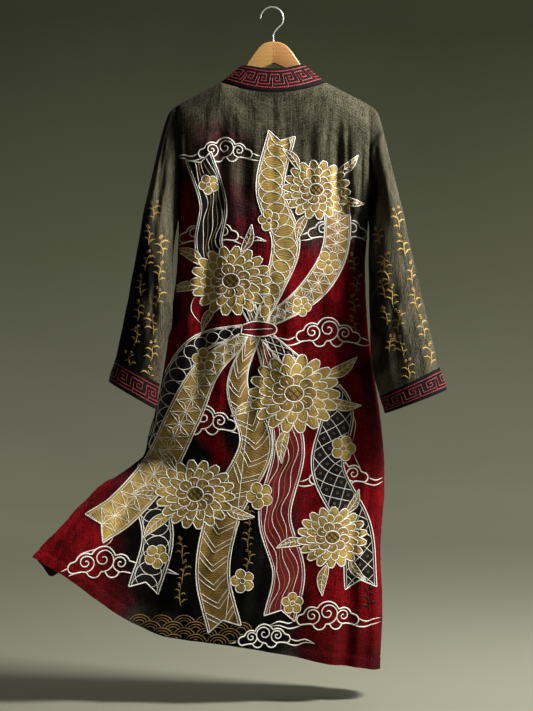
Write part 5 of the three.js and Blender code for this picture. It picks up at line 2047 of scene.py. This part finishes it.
def make_stage():
    """A floor that sweeps up into a round wall on every side."""
    profile = [(0.0, FLOOR_Z)]
    profile += [(radius, FLOOR_Z) for radius in (1000, 3000)]
    start = WALL_RADIUS - SWEEP_RADIUS
    for t in np.radians(np.linspace(0, 90, 24)):
        profile.append((start + SWEEP_RADIUS * math.sin(t), FLOOR_Z + SWEEP_RADIUS * (1 - math.cos(t))))
    profile.append((WALL_RADIUS, WALL_TOP))
    turns = np.arange(STAGE_SIDES) / STAGE_SIDES * 2 * math.pi
    vertices = [(0, 0, FLOOR_Z)]
    vertices += [(r * math.cos(t), r * math.sin(t), z) for r, z in profile[1:] for t in turns]
    faces = [[0, 1 + k, 1 + (k + 1) % STAGE_SIDES] for k in range(STAGE_SIDES)]
    for row in range(len(profile) - 2):
        base = 1 + row * STAGE_SIDES
        for k in range(STAGE_SIDES):
            beside = (k + 1) % STAGE_SIDES
            faces.append([base + k, base + STAGE_SIDES + k, base + STAGE_SIDES + beside, base + beside])
    mesh = make_mesh("stage_bowl", vertices, faces, no_uv(faces), [0] * len(faces), [stage_painted_glow()])
    thing = bpy.data.objects.new("stage_bowl", mesh)
    bpy.context.scene.collection.objects.link(thing)


def area_light(name, place, aim, power, wide, high, colour):
    """A rectangular light the camera doesn't see, turned to the place it aims at."""
    light = bpy.data.lights.new(name, "AREA")
    light.shape = "RECTANGLE"
    light.size = wide
    light.size_y = high
    light.energy = power
    light.color = colour
    thing = bpy.data.objects.new(name, light)
    thing.visible_camera = False
    thing.location = place
    thing.rotation_euler = (Vector(aim) - Vector(place)).to_track_quat("-Z", "Y").to_euler()
    bpy.context.scene.collection.objects.link(thing)


def make_lights():
    area_light("key", (1.78, -0.58, 1.0), (0.1, 0, -0.6), 165, 0.6, 0.8, (1.0, 0.97, 0.92))
    area_light("front_fill", (1.1, 3.2, 0.7), (0.0, 0, -0.7), 30, 1.6, 1.6, (1.0, 0.98, 0.95))
    area_light("left_rim", (-2.6, 1.5, 0.3), (0.0, 0, -0.6), 5, 1.2, 1.6, (0.96, 0.98, 1.0))
    area_light("floor_wash", (2.4, -0.4, 0.7), (1.3, 0.7, -1.5), 16, 1.2, 1.2, (1.0, 0.99, 0.95))
    world = bpy.data.worlds.new("studio")
    bpy.context.scene.world = world
    world.use_nodes = True
    background = world.node_tree.nodes["Background"].inputs
    background["Color"].default_value = rgb(60, 62, 48)
    background["Strength"].default_value = 0.05


CAMERA_PLACE = (-0.015, -4.06, -0.7603)  # metres
LENS = 94


def make_camera():
    """Looks level along +Y at the robe's back."""
    camera = bpy.data.cameras.new("camera")
    camera.lens = LENS
    camera.sensor_width = 36
    thing = bpy.data.objects.new("camera", camera)
    thing.location = CAMERA_PLACE
    thing.rotation_euler = (math.radians(90), 0, 0)
    bpy.context.scene.collection.objects.link(thing)
    bpy.context.scene.camera = thing


make_stage()
make_lights()
make_camera()
bpy.context.scene.view_settings.view_transform = "Standard"
